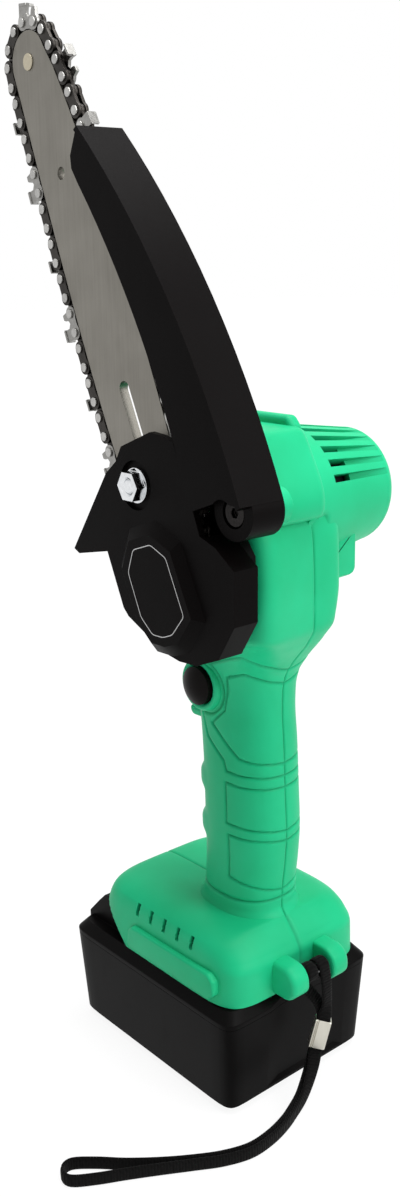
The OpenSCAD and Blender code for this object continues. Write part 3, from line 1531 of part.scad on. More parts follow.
// Round turn at the far end
turn_mid = [33.2, -96.4, edge_z];
turn_r = 4.3;
strap_line = concat(
  [in_ferrule(0.4, -1), in_ferrule(ferrule_l / 2 + 0.6, -1)],
  [[[55.6, 1.6, 38], [0, 1, -0.1]], [[52.4, -2.2, 45.4], [0, 1, 0]]],
  [for (t = [180:-45:0]) on_pin(t, -lane)],
  [on_pin(-50, -lane + 0.8), on_pin(-90, 0.4), on_pin(-130, lane - 0.4)],
  [for (t = [180:-45:45]) on_pin(t, lane)],
  [on_pin(4, lane), [[58.7, lane, 45.5], [0, 1, 0]], [[58.7, lane + 0.2, 38], [0, 1, -0.15]]],
  [in_ferrule(ferrule_l / 2 + 0.6, 1), in_ferrule(-ferrule_l / 2 - 0.6, 1)],
  [for (i = [0:floor_last]) on_floor(i, 1)],
  [for (t = [0:45:180])
    [turn_mid + turn_r * (cos(t) * [0.8, -0.6, 0] + sin(t) * [-0.6, -0.8, 0]), [0, 0, -1]]],
  [for (i = [floor_last:-1:0]) on_floor(i, -1)],
  [in_ferrule(-ferrule_l / 2 - 0.6, -1), in_ferrule(-0.4, -1)]);

module wrist_strap() {
  color(black) swept([for (q = strap_line) q[0]], [for (q = strap_line) q[1]], strand_w / 2, strand_t / 2, 8);
}

left_housing();
right_housing();
housing_screws();
bar_mount();
sprocket_cover();
bar_stud();
bar_nut();
bar_left_plate();
bar_core_plate();
bar_right_plate();
nose_sprocket();
nose_rivet();
chain_drive_links();
chain_tie_straps();
chain_left_cutters();
chain_right_cutters();
chain_rivets();
drive_sprocket();
sprocket_clip();
output_spindle();
drive_gear();
front_bearing();
rear_bearing();
gear_case();
motor_pinion();
motor_can();
motor_end_bell();
motor_armature();
motor_shaft();
motor_fan();
motor_magnets();
motor_screws();
tension_screw();
tension_pin();
chain_guard();
guard_screw();
guard_spring();
trigger();
trigger_spring();
lock_button();
lock_spring();
trigger_switch();
supply_leads();
motor_leads();
terminal_block();
terminal_blades();
battery_case();
battery_lid();
battery_screws();
battery_latch();
latch_spring();
battery_cells();
cell_holder();
cell_strips();
battery_board();
battery_contacts();
strap_pin();
strap_ferrule();
wrist_strap();
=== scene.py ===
"""Looks of a cordless pruning chainsaw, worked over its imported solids.

Every place is in millimetres in the solids' frame until a mesh is written, which is in metres:
+Z is up, -X the trigger side, -Y the bar and cover side, and the seam of the housing is y = 0.
"""

import math

import bpy
import numpy as np
from mathutils import Matrix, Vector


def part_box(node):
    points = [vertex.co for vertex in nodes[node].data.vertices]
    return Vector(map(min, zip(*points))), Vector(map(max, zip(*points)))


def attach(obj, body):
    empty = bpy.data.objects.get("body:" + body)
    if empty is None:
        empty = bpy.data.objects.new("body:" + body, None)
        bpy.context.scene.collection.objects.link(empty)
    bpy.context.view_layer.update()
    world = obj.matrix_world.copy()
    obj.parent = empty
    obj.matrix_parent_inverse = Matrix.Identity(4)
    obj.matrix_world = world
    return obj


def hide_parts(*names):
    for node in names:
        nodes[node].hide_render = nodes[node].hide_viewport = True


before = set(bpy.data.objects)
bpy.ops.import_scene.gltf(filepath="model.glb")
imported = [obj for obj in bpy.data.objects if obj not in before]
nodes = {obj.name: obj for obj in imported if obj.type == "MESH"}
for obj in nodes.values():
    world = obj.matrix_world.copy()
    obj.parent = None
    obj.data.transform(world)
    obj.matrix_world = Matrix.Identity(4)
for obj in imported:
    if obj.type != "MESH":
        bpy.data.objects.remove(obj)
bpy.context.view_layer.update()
MM = 0.001

# Camera of the photograph: place, aim and lens

EYE = np.array([336.77, -290.39, 311.08])
YAW, PITCH, ROLL = np.radians([40.172, 15.771, -1.081])
FOCAL_PX = 1221.67
IMAGE_HEIGHT_PX = 1197


def photo_camera():
    """Camera whose axes are the view direction, its level right and its up, turned by the roll."""
    view = np.array([-math.cos(YAW) * math.cos(PITCH), math.sin(YAW) * math.cos(PITCH), -math.sin(PITCH)])
    right = np.cross(view, [0, 0, 1])
    right /= np.linalg.norm(right)
    up = np.cross(right, view)
    c, s = math.cos(ROLL), math.sin(ROLL)
    right, up = c * right + s * up, c * up - s * right
    data = bpy.data.cameras.new("photo_camera")
    data.sensor_fit = "VERTICAL"
    data.sensor_height = 36
    data.sensor_width = 36
    data.lens = FOCAL_PX / IMAGE_HEIGHT_PX * data.sensor_height
    data.clip_start = 0.01
    data.clip_end = 50
    camera = bpy.data.objects.new("photo_camera", data)
    bpy.context.scene.collection.objects.link(camera)
    matrix = np.eye(4)
    matrix[:3, 0], matrix[:3, 1], matrix[:3, 2] = right, up, -view
    matrix[:3, 3] = EYE * MM
    camera.matrix_world = Matrix(matrix)
    bpy.context.scene.camera = camera


photo_camera()

# Shader expressions


class Socket:
    """A shader value. Arithmetic on it adds Math nodes, so formulas read as Python."""

    def __init__(self, tree, link):
        self.tree = tree
        self.link = link

    def _math(self, operation, *values):
        node = self.tree.nodes.new("ShaderNodeMath")
        node.operation = operation
        for slot, value in zip(node.inputs, values):
            if isinstance(value, Socket):
                self.tree.links.new(value.link, slot)
            else:
                slot.default_value = value
        return Socket(self.tree, node.outputs[0])

    def __add__(self, other):
        return self._math("ADD", self, other)

    def __radd__(self, other):
        return self._math("ADD", other, self)

    def __sub__(self, other):
        return self._math("SUBTRACT", self, other)

    def __rsub__(self, other):
        return self._math("SUBTRACT", other, self)

    def __mul__(self, other):
        return self._math("MULTIPLY", self, other)

    def __rmul__(self, other):
        return self._math("MULTIPLY", other, self)

    def within(self, low, high):
        """Rescaled so that low becomes 0 and high 1, and held between them."""
        return self._math("MULTIPLY", self - low, 1 / (high - low)).clamped()

    def clamped(self):
        """Held between 0 and 1."""
        return self._math("MINIMUM", self._math("MAXIMUM", self, 0.0), 1.0)

    def wave(self):
        """Sine of the value."""
        return self._math("SINE", self)


class Finish:
    """One material: a Principled shader and the nodes that vary it over the surface."""

    def __init__(self, name, **constants):
        self.material = bpy.data.materials.new(name)
        self.material.use_nodes = True
        self.tree = self.material.node_tree
        self.shader = self.tree.nodes["Principled BSDF"]
        for key, value in constants.items():
            self.shader.inputs[key.replace("_", " ")].default_value = value

    def node(self, kind, settings=None, output=0, **inputs):
        """Adds a node: settings first, then values or links for its sockets by name or number."""
        made = self.tree.nodes.new("ShaderNode" + kind)
        for key, value in (settings or {}).items():
            if key == "stops":
                while len(made.color_ramp.elements) < len(value):
                    made.color_ramp.elements.new(0.5)
                for element, (place, colour) in zip(made.color_ramp.elements, value):
                    element.position = place
                    element.color = colour
            else:
                setattr(made, key, value)
        for key, value in inputs.items():
            slot = made.inputs[int(key[1:])] if key[0] == "n" and key[1:].isdigit() else made.inputs[key]
            if isinstance(value, Socket):
                self.tree.links.new(value.link, slot)
            else:
                slot.default_value = value
        return Socket(self.tree, made.outputs[output])

    def place(self, scale=(1, 1, 1), turn=(0, 0, 0)):
        """Object coordinates in metres, scaled and turned."""
        spot = self.node("TexCoord", output="Object")
        return self.node("Mapping", Vector=spot, Scale=scale, Rotation=turn)

    def uv(self):
        """The piece's own UV map."""
        return self.node("Mapping", Vector=self.node("TexCoord", output="UV"))

    def noise(self, spot, scale, detail=2.0, roughness=0.5):
        """Soft noise with its grains a scale-th of a metre apart."""
        return self.node("TexNoise", Vector=spot, Scale=scale, Detail=detail, Roughness=roughness)

    def mark(self, name):
        """A value that the piece carries at its vertices."""
        return self.node("Attribute", {"attribute_name": name}, output="Fac")

    def mix(self, amount, low, high):
        """Colour between two, by the amount."""
        return self.node("Mix", {"data_type": "RGBA"}, output=2, n0=amount, n6=low, n7=high)

    def bump(self, height, strength, distance):
        """Normal of a surface raised by the height."""
        return self.node("Bump", Height=height, Strength=strength, Distance=distance)

    def set(self, **links):
        """Links values to the shader's sockets and gives the material."""
        for key, value in links.items():
            self.tree.links.new(value.link, self.shader.inputs[key.replace("_", " ")])
        return self.material


def shade(r, g, b):
    """Screen colour from 0 to 255 as the linear colour that a shader takes."""
    c = np.array([r, g, b]) / 255
    linear = np.where(c <= 0.04045, c / 12.92, ((c + 0.055) / 1.055) ** 2.4)
    return (*linear.tolist(), 1.0)


def moulded(name, dark, light, rough, grain=0.25, painted_groove_shade=False, **constants):
    """Moulded plastic: two close tones in broad clouds, a fine spark-eroded grain, painted shade in its
    grooves.
    """
    f = Finish(name, **constants)
    spot = f.place()
    clouds = f.noise(spot, 35, 3).within(0.35, 0.65)
    colour = f.mix(clouds, dark, light)
    fine = f.noise(spot, 2600, 2)
    scuffs = f.noise(f.place((1, 1, 0.25)), 160, 4, 0.6).within(0.55, 0.8)
    roughness = rough + 0.10 * fine - 0.05 + 0.07 * scuffs
    if painted_groove_shade:
        # Painted shade: the groove mark darkens the colour in grooves, seams and panel lines, and a mark
        # above 1 paints windows, bores and slots near black as painted shadow.
        groove = f.mark("groove")
        deep = tuple(0.62 * x for x in dark[:3]) + (1.0,)
        colour = f.mix(groove.within(0, 1) * 0.8, colour, deep)
        colour = f.mix(groove.within(1.05, 1.8), colour, shade(9, 14, 12))
        roughness = roughness + 0.15 * groove.within(0, 1)
    return f.set(Base_Color=colour, Roughness=roughness, Normal=f.bump(fine, grain, 0.00006))


def metal(name, dark, light, rough, grain, spread=(1, 1, 1), turn=(0, 0, 0), scratch=0.25):
    """Bare metal: streaks stretched along the way it was ground, with stains and a streaky gloss."""
    f = Finish(name, Metallic=1.0)
    streak = f.noise(f.place(spread, turn), grain, 4, 0.65)
    stain = f.noise(f.place(), 60, 3).within(0.3, 0.75)
    colour = f.mix(0.55 * streak.within(0.3, 0.7) + 0.45 * stain, dark, light)
    return f.set(
        Base_Color=colour, Roughness=rough + 0.22 * streak - 0.11, Normal=f.bump(streak, scratch, 0.00004)
    )


BAR_LEAN = math.radians(24.1)

GREEN = moulded("green_housing", shade(23, 177, 121), shade(28, 186, 130), 0.44, 0.2, True,
                Specular_IOR_Level=0.15)
BLACK = moulded("black_moulding", shade(6, 5, 5), shade(9, 8, 8), 0.38, 0.3, Specular_IOR_Level=0.04)
GUARD_BLACK = moulded("guard_moulding", shade(7, 5, 5), shade(9, 7, 7), 0.42, 0.5, Specular_IOR_Level=0.035)
BUTTON_BLACK = moulded("button_rubber", shade(10, 7, 6), shade(14, 11, 10), 0.38, 0.3,
                       Specular_IOR_Level=0.06)
BAR_STEEL = metal("ground_bar", shade(118, 115, 108), shade(140, 137, 130), 0.50, 900,
                  (1, 1, 0.04), (0, -BAR_LEAN, 0), 0.3)
CHAIN_STEEL = metal("blackened_links", shade(44, 42, 40), shade(66, 63, 60), 0.40, 500)
CUTTER_STEEL = metal("plated_cutters", shade(124, 123, 120), shade(160, 159, 156), 0.30, 700)
RIVET_STEEL = metal("peened_rivets", shade(150, 149, 147), shade(196, 195, 192), 0.32, 900)
NUT_CHROME = metal("plated_nut", shade(206, 208, 210), shade(236, 238, 240), 0.16, 700)
NOSE_BEIGE = metal("nose_rivet_face", shade(176, 168, 148), shade(196, 188, 168), 0.5, 900)
PLAIN_STEEL = metal("machined_steel", shade(120, 120, 122), shade(160, 160, 162), 0.34, 700)
DARK_STEEL = metal("black_screw", shade(28, 26, 26), shade(48, 46, 45), 0.28, 800)
PALE_FERRULE = metal("ferrule_sheet", shade(194, 191, 179), shade(210, 207, 197), 0.40, 500, (1, 1, 0.2))
ZINC = metal("cast_zinc", shade(140, 141, 143), shade(168, 169, 171), 0.5, 300)
COPPER = metal("copper_winding", shade(150, 86, 48), shade(186, 112, 66), 0.4, 900, (1, 0.1, 1))
BRASS = metal("contact_brass", shade(186, 150, 78), shade(212, 178, 104), 0.3, 600)
NICKEL = metal("nickel_strip", shade(176, 172, 160), shade(204, 200, 188), 0.34, 600)
RED_LEAD = moulded("lead_insulation", shade(150, 22, 18), shade(176, 32, 26), 0.45, 0.1)
CELL_BLUE = moulded("cell_sleeve", shade(28, 66, 128), shade(36, 78, 146), 0.3, 0.1)
PALE_PLASTIC = moulded("cell_frame", shade(206, 206, 200), shade(220, 220, 214), 0.5, 0.2)
BOARD_GREEN = moulded("board_laminate", shade(22, 92, 50), shade(30, 110, 62), 0.36, 0.1)
SILVER_LINE = metal("silver_line", shade(168, 168, 168), shade(196, 196, 196), 0.4, 900)


RIB_PITCH = 1.1


def webbing():
    """Woven strap: ribs across the width, two plies to a rib."""
    f = Finish("woven_strap", Roughness=0.85, Sheen_Weight=0.04, Sheen_Roughness=0.5, Specular_IOR_Level=0.06)
    along = f.node("SeparateXYZ", Vector=f.uv())
    across = Socket(f.tree, along.link.node.outputs[1])
    rib = (along * (2 * math.pi / RIB_PITCH)).wave() * 0.5 + 0.5
    ply = (across * (2 * math.pi * 4) + along * (math.pi / RIB_PITCH)).wave() * 0.5 + 0.5
    height = rib * 0.6 + ply * 0.4
    fuzz = f.noise(f.place(), 1800, 3)
    # Painted shade: the colour follows the weave's height, darker in its hollows and lighter on its raised
    # ribs, with random fuzz.
    colour = f.mix(height * 0.7 + 0.3 * fuzz, shade(4, 4, 4), shade(17, 16, 16))
    return f.set(Base_Color=colour, Normal=f.bump(height + 0.4 * fuzz, 0.7, 0.00025))


WEBBING = webbing()

# Mesh helpers


def monotone(knots, values, wanted):
    """Smooth curve through rows of values that never overshoots between two knots (harmonic slopes)."""
    knots, values, wanted = (np.asarray(a, float) for a in (knots, values, wanted))
    step = np.diff(knots)
    rise = np.diff(values, axis=0) / step[:, None]
    before, after = rise[:-1], rise[1:]
    w_before = (2 * step[1:] + step[:-1])[:, None]
    w_after = (step[1:] + 2 * step[:-1])[:, None]
    turning = before * after > 0
    safe_before = np.where(turning, before, 1)
    safe_after = np.where(turning, after, 1)
    slope = np.zeros_like(values)
    slope[1:-1] = np.where(turning, (w_before + w_after) / (w_before / safe_before + w_after / safe_after), 0)
    slope[0], slope[-1] = rise[0], rise[-1]
    i = np.clip(np.searchsorted(knots, wanted) - 1, 0, len(step) - 1)
    t = ((wanted - knots[i]) / step[i])[:, None]
    h = step[i][:, None]
    return (
        values[i] * (1 + 2 * t) * (1 - t) ** 2
        + slope[i] * h * t * (1 - t) ** 2
        + values[i + 1] * t**2 * (3 - 2 * t)
        + slope[i + 1] * h * t**2 * (t - 1)
    )


def sheet(points, wrap=True, caps=(True, True), groove=None, drop=None):
    """A grid of points, rows by columns, closed round its columns or not, with flat ends or open ones."""
    return {"points": points, "wrap": wrap, "caps": caps, "groove": groove, "drop": drop}


def grid_faces(rows, columns, wrap, first):
    """Corner numbers of the grid's quads, with the first corner's number added."""
    numbers = first + np.arange(rows * columns).reshape(rows, columns)
    right = np.roll(numbers, -1, axis=1)
    if not wrap:
        numbers, right = numbers[:, :-1], right[:, :-1]
    return np.stack([numbers[:-1], right[:-1], right[1:], numbers[1:]], -1)


def piece(name, sheets, finish, body="saw", sharp=40):
    """One mesh object made of sheets, with smooth shading, its groove mark and its finish."""
    corners, faces, marks, first = [], [], [], 0
    for s in sheets:
        points = np.asarray(s["points"], float)
        rows, columns = points.shape[:2]
        quads = grid_faces(rows, columns, s["wrap"], first)
        if s["drop"] is not None:
            middle = points.reshape(-1, 3)[quads - first].mean(2)
            quads = quads[~s["drop"](middle)]
        quads = quads.reshape(-1, 4)
        flat = points.reshape(-1, 3)
        q = flat[quads - first]
        q = q - flat.mean(0)
        volume = np.einsum("ij,ij->i", q[:, 0], np.cross(q[:, 1], q[:, 2])).sum()
        volume += np.einsum("ij,ij->i", q[:, 0], np.cross(q[:, 2], q[:, 3])).sum()
        inside_out = volume < 0
        faces += (quads[:, ::-1] if inside_out else quads).tolist()
        ring = np.arange(columns)
        if s["caps"][0]:
            cap = first + ring[::-1]
            faces.append((cap[::-1] if inside_out else cap).tolist())
        if s["caps"][1]:
            cap = first + (rows - 1) * columns + ring
            faces.append((cap[::-1] if inside_out else cap).tolist())
        corners.append(flat)
        marks.append(np.zeros(rows * columns) if s["groove"] is None else np.ravel(s["groove"]))
        first += rows * columns
    mesh = bpy.data.meshes.new(name)
    mesh.from_pydata((np.concatenate(corners) * MM).tolist(), [], faces)
    mesh.validate()
    mesh.polygons.foreach_set("use_smooth", np.ones(len(mesh.polygons), bool))
    mesh.set_sharp_from_angle(angle=math.radians(sharp))
    attribute = mesh.attributes.new("groove", "FLOAT", "POINT")
    attribute.data.foreach_set("value", np.concatenate(marks).astype(np.float32))
    mesh.materials.append(finish)
    made = bpy.data.objects.new(name, mesh)
    bpy.context.scene.collection.objects.link(made)
    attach(made, body)
    return made


def shade_by_angle(limit):
    """Geometry nodes that shade every face smooth and keep sharp the edges that turn by the limit or more."""
    group = bpy.data.node_groups.new("shade_by_angle", "GeometryNodeTree")
    for way in ("INPUT", "OUTPUT"):
        group.interface.new_socket("Geometry", in_out=way, socket_type="NodeSocketGeometry")
    start, end = group.nodes.new("NodeGroupInput"), group.nodes.new("NodeGroupOutput")
    faces = group.nodes.new("GeometryNodeSetShadeSmooth")
    edges = group.nodes.new("GeometryNodeSetShadeSmooth")
    edges.domain = "EDGE"
    turn = group.nodes.new("GeometryNodeInputMeshEdgeAngle")
    small = group.nodes.new("FunctionNodeCompare")
    small.operation = "LESS_THAN"
    small.inputs["B"].default_value = math.radians(limit)
    group.links.new(turn.outputs["Unsigned Angle"], small.inputs["A"])
    group.links.new(small.outputs["Result"], edges.inputs["Shade Smooth"])
    group.links.new(start.outputs["Geometry"], faces.inputs["Geometry"])
    group.links.new(faces.outputs["Geometry"], edges.inputs["Geometry"])
    group.links.new(edges.outputs["Geometry"], end.inputs["Geometry"])
    return group


BY_ANGLE = shade_by_angle(36)


def soften_edges(made, width, segments=2, angle=28):
    """Rounds the edges that turn by more than the angle, after coplanar triangles are joined."""
    weld = made.modifiers.new("weld", "WELD")
    weld.merge_threshold = 0.00001
    flat = made.modifiers.new("flat", "DECIMATE")
    flat.decimate_type = "DISSOLVE"
    flat.angle_limit = math.radians(1.0)
    rounding = made.modifiers.new("rounding", "BEVEL")
    rounding.width = width * MM
    rounding.segments = segments
    rounding.limit_method = "ANGLE"
    rounding.angle_limit = math.radians(angle)
    rounding.harden_normals = False
    shading = made.modifiers.new("shading", "NODES")
    shading.node_group = BY_ANGLE
    smooth = made.modifiers.new("smooth", "WEIGHTED_NORMAL")
    smooth.keep_sharp = True


def inset(outline, distance):
    """Outline moved inwards along the mean of its two edge normals at each corner."""
    ahead = np.roll(outline, -1, axis=0) - outline
    behind = outline - np.roll(outline, 1, axis=0)
    area = np.sum(outline[:, 0] * np.roll(outline[:, 1], -1) - np.roll(outline[:, 0], -1) * outline[:, 1])
    normal = [np.stack([-e[:, 1], e[:, 0]], -1) / np.linalg.norm(e, axis=1)[:, None] for e in (ahead, behind)]
    inward = normal[0] + normal[1]
    inward /= np.maximum(np.sum(inward * normal[0], axis=1), 0.25)[:, None]
    return outline + np.sign(area) * distance * inward


def softened(corners, radius, steps=5):
    """Outline with each corner replaced by a quadratic curve that starts a radius before it."""
    corners = np.asarray(corners, float)
    before = np.roll(corners, 1, axis=0) - corners
    after = np.roll(corners, -1, axis=0) - corners
    cut_before = np.minimum(radius, 0.45 * np.linalg.norm(before, axis=1))
    cut_after = np.minimum(radius, 0.45 * np.linalg.norm(after, axis=1))
    a = corners + before * (cut_before / np.linalg.norm(before, axis=1))[:, None]
    b = corners + after * (cut_after / np.linalg.norm(after, axis=1))[:, None]
    t = np.linspace(0, 1, steps)[None, :, None]
    curve = a[:, None] * (1 - t) ** 2 + 2 * corners[:, None] * t * (1 - t) + b[:, None] * t**2
    return curve.reshape(-1, 2)


def slab(outline, y0, y1, edge0=0.8, edge1=0.8, steps=5):
    """Side outline (x, z) carried from y0 to y1, its two ends drawn in along a quarter circle."""
    t = np.linspace(0, math.pi / 2, steps)
    rows = [(y0 + edge0 * (1 - math.sin(a)), edge0 * (1 - math.cos(a))) for a in t[::-1]]
    rows += [(y1 - edge1 * (1 - math.sin(a)), edge1 * (1 - math.cos(a))) for a in t]
    rings = []
    for y, drawn in rows:
        ring = inset(outline, drawn)
        rings.append(np.stack([ring[:, 0], np.full(len(ring), y), ring[:, 1]], -1))
    return sheet(np.array(rings))


def lengthways(outline, x0, x1, edge):
    """Cross outline (y, z) carried from x0 to x1: a slab with its first two axes changed over."""
    made = slab(outline, x0, x1, edge, edge)
    made["points"] = made["points"][..., [1, 0, 2]]
    return made


def turned(profile, x, z, count=96, caps=(True, True)):
    """Profile of (radius, y) pairs carried round the line through x, z that runs along Y."""
    profile = np.asarray(profile, float)
    t = np.linspace(0, 2 * math.pi, count, endpoint=False)
    r, y = profile[:, :1], profile[:, 1:]
    points = np.stack([x + r * np.cos(t), y + 0 * t, z + r * np.sin(t)], -1)
    return sheet(points, caps=caps)


def superellipse(turn, square):
    """Distance from the middle to |x|^n + |y|^n = 1 in each direction."""
    return (np.abs(np.cos(turn)) ** square + np.abs(np.sin(turn)) ** square) ** (-1 / square)


def away(across, height, line):
    """Least distance from each point to a run of straight lines."""
    nearest = np.full(np.broadcast(across, height).shape, 1e9)
    for (a0, z0), (a1, z1) in zip(line[:-1], line[1:]):
        run = np.array([a1 - a0, z1 - z0])
        share = ((across - a0) * run[0] + (height - z0) * run[1]) / (run @ run)
        share = np.clip(share, 0, 1)
        nearest = np.minimum(nearest, np.hypot(across - a0 - share * run[0], height - z0 - share * run[1]))
    return nearest


def ramp(value, low, high):
    """Smooth step from 0 at low to 1 at high."""
    t = np.clip((value - low) / (high - low), 0, 1)
    return t * t * (3 - 2 * t)


# Wrist strap, along the same route as its solid

STRAND_W, STRAND_T = 5.0, 1.4
PIN = np.array([54.5, 0.0, 52.0])
LAP = 3.05
LAYER = STRAND_T / 2 + 0.25
LANE = STRAND_W / 2 + 0.5
FERRULE_MID = np.array([57.3, 1.0, 25.9])
FERRULE_L = 12.2
FERRULE_TILT, FERRULE_TURN = np.radians([13, 44])
FERRULE_HALF_W, FERRULE_HALF_D, FERRULE_WALL = 3.15, 2.3, 0.45
FERRULE_LEVEL = np.array([math.sin(FERRULE_TURN), math.cos(FERRULE_TURN), 0])
FERRULE_FACE = np.array([math.cos(FERRULE_TURN), -math.sin(FERRULE_TURN), 0])
FERRULE_UP = math.sin(FERRULE_TILT) * FERRULE_LEVEL + [0, 0, math.cos(FERRULE_TILT)]
FERRULE_SIDE = math.cos(FERRULE_TILT) * FERRULE_LEVEL - [0, 0, math.sin(FERRULE_TILT)]
FOLDS, FOLD_HALF_W, FOLD_DEPTH = (-2.35, -1.75), 0.14, 0.3
EDGE_Z = STRAND_W / 2 + 0.1


def strap_route():
    """Middle points of the strap and the direction of its width at each one."""

    def in_ferrule(t, s):
        return FERRULE_MID + FERRULE_UP * t + s * LAYER * FERRULE_FACE, FERRULE_SIDE

    def on_pin(t, y):
        a = math.radians(t)
        return PIN + [LAP * math.cos(a), y, LAP * math.sin(a)], [0, 1, 0]

    floor = [
        ([57.2, -3, 13.4], [0.4, 0.7, -0.55]), ([58.5, -7, 8.5], [0.2, 0.5, -0.8]),
        ([60.2, -12, 4.9], [0.05, 0.3, -0.95]), ([62, -18, EDGE_Z + 0.5], [0, 0.1, -1]),
    ]
    laid = [(64, -24), (66, -33), (66.2, -43), (62.8, -53), (57.3, -62.4), (51, -72), (44, -82), (38, -90)]
    floor += [([x, y, EDGE_Z], [0, 0, -1]) for x, y in laid]
    last = len(floor) - 1

    def on_floor(i, s):
        run = np.subtract(floor[min(i + 1, last)][0], floor[max(i - 1, 0)][0])
        run = run / np.linalg.norm(run)
        width = np.array(floor[i][1], float)
        width = width - run * (width @ run)
        width /= np.linalg.norm(width)
        apart = LAYER + 0.1 + [0, 0.4, 1.4, 2.8][max(0, i - last + 3)]
        return np.array(floor[i][0]) + s * apart * np.cross(run, width), width

    turn = []
    for t in range(0, 181, 30):
        a = math.radians(t)
        out = math.cos(a) * np.array([0.8, -0.6, 0]) + math.sin(a) * np.array([-0.6, -0.8, 0])
        turn.append((np.array([33.2, -96.4, EDGE_Z]) + 4.3 * out, [0, 0, -1]))
    half = FERRULE_L / 2 + 0.6
    route = [in_ferrule(0.4, -1), in_ferrule(half, -1)]
    route += [([55.6, 1.6, 38], [0, 1, -0.1]), ([52.4, -2.2, 45.4], [0, 1, 0])]
    route += [on_pin(t, -LANE) for t in range(180, -1, -45)]
    route += [on_pin(-50, -LANE + 0.8), on_pin(-90, 0.4), on_pin(-130, LANE - 0.4)]
    route += [on_pin(t, LANE) for t in (180, 135, 90, 45, 4)]
    route += [([58.7, LANE, 45.5], [0, 1, 0]), ([58.7, LANE + 0.2, 38], [0, 1, -0.15])]
    route += [in_ferrule(half, 1), in_ferrule(-half, 1)]
    route += [on_floor(i, 1) for i in range(last + 1)]
    route += turn
    route += [on_floor(i, -1) for i in range(last, -1, -1)]
    route += [in_ferrule(-half, -1), in_ferrule(-0.4, -1)]
    return np.array([r[0] for r in route], float), np.array([r[1] for r in route], float)


def through(points, count):
    """Points spaced evenly along a centripetal curve through the given ones."""
    length = np.concatenate([[0], np.cumsum(np.linalg.norm(np.diff(points, axis=0), axis=1) ** 0.5)])
    fine = np.linspace(0, length[-1], 12 * count)
    i = np.clip(np.searchsorted(length, fine, side="right") - 1, 0, len(points) - 2)
    slopes = np.gradient(points, length, axis=0)
    t = ((fine - length[i]) / (length[i + 1] - length[i]))[:, None]
    h = (length[i + 1] - length[i])[:, None]
    curve = (
        points[i] * (1 + 2 * t) * (1 - t) ** 2 + slopes[i] * h * t * (1 - t) ** 2
        + points[i + 1] * t**2 * (3 - 2 * t) + slopes[i + 1] * h * t**2 * (t - 1)
    )
    run = np.concatenate([[0], np.cumsum(np.linalg.norm(np.diff(curve, axis=0), axis=1))])
    even = np.linspace(0, run[-1], count)
    return np.stack([np.interp(even, run, curve[:, k]) for k in range(curve.shape[1])], -1), run[-1]


def ferrule_sleeve():
    """Squarish section with two fold lines on its face, carried up the strap and down inside its wall."""
    t = np.linspace(0, 2 * math.pi, 360, endpoint=False)
    r = superellipse(t, 9)
    half = FERRULE_L / 2
    rows = [(0.2, -half), (0, 0.25 - half), (0, half - 0.25), (0.2, half)]
    rows += [(FERRULE_WALL, half), (FERRULE_WALL, -half)]
    drawn, height = np.array(rows).T[:, :, None]
    across = (FERRULE_HALF_W - drawn) * r * np.cos(t)
    deep = (FERRULE_HALF_D - drawn) * r * np.sin(t)
    fold = sum(np.exp(-(((across - u) / FOLD_HALF_W) ** 2)) for u in FOLDS)
    deep = deep - FOLD_DEPTH * fold * (np.sin(t) > 0.4) * (drawn < 0.3)
    points = FERRULE_MID + height[:, :, None] * FERRULE_UP + across[:, :, None] * FERRULE_SIDE
    points = points + deep[:, :, None] * FERRULE_FACE
    made = piece("ferrule_sleeve", [sheet(points, caps=(False, False))], PALE_FERRULE)
    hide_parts("strap_ferrule")
    return made


def wrist_strap():
    """Flat woven band: a rounded oblong section carried along the strap's route, with ribs across it."""
    points, widths = strap_route()
    both, _ = through(np.hstack([points, widths * 4]), 620)
    path, width = both[:, :3], both[:, 3:]
    run = np.gradient(path, axis=0)
    run /= np.linalg.norm(run, axis=1)[:, None]
    width = width - run * np.sum(width * run, axis=1)[:, None]
    width /= np.linalg.norm(width, axis=1)[:, None]
    thick = np.cross(run, width)
    along = np.concatenate([[0], np.cumsum(np.linalg.norm(np.diff(path, axis=0), axis=1))])
    t = np.linspace(0, 2 * math.pi, 20, endpoint=False)
    r = superellipse(t, 3.2)
    rib = 1 + 0.05 * np.sin(2 * math.pi * along / RIB_PITCH)[:, None]
    section = (r * np.cos(t) * STRAND_W / 2)[None, :, None] * width[:, None]
    section = section + (r * np.sin(t) * STRAND_T / 2 * rib)[:, :, None] * thick[:, None]
    made = piece("strap_band", [sheet(path[:, None] + section)], WEBBING, sharp=60)
    mesh = made.data
    loops = np.zeros(len(mesh.loops), int)
    mesh.loops.foreach_get("vertex_index", loops)
    columns = len(t)
    uv = np.stack([along[loops // columns], np.sin(t)[loops % columns] * 0.5 + 0.5], -1)
    layer = mesh.uv_layers.new(name="UVMap")
    layer.data.foreach_set("uv", uv.astype(np.float32).ravel())
    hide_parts("wrist_strap")
    ferrule_sleeve()


wrist_strap()

# Housing

CASE_Y = -29.0
MOTOR = np.array([27.5036, 226.501])
BUTTON = np.array([11.5, 158.0])
BUTTON_R = 7.2
RING_R = 11.3
BASE_RING_Z = 75.5
TRIGGER_Z, TRIGGER_H, TRIGGER_W = 155.3, 21.4, 12.0
WINDOW_FLOOR, BORE_FLOOR = 9.25, -6.85
FOOT_Z = 44.0
WALL = 2.5

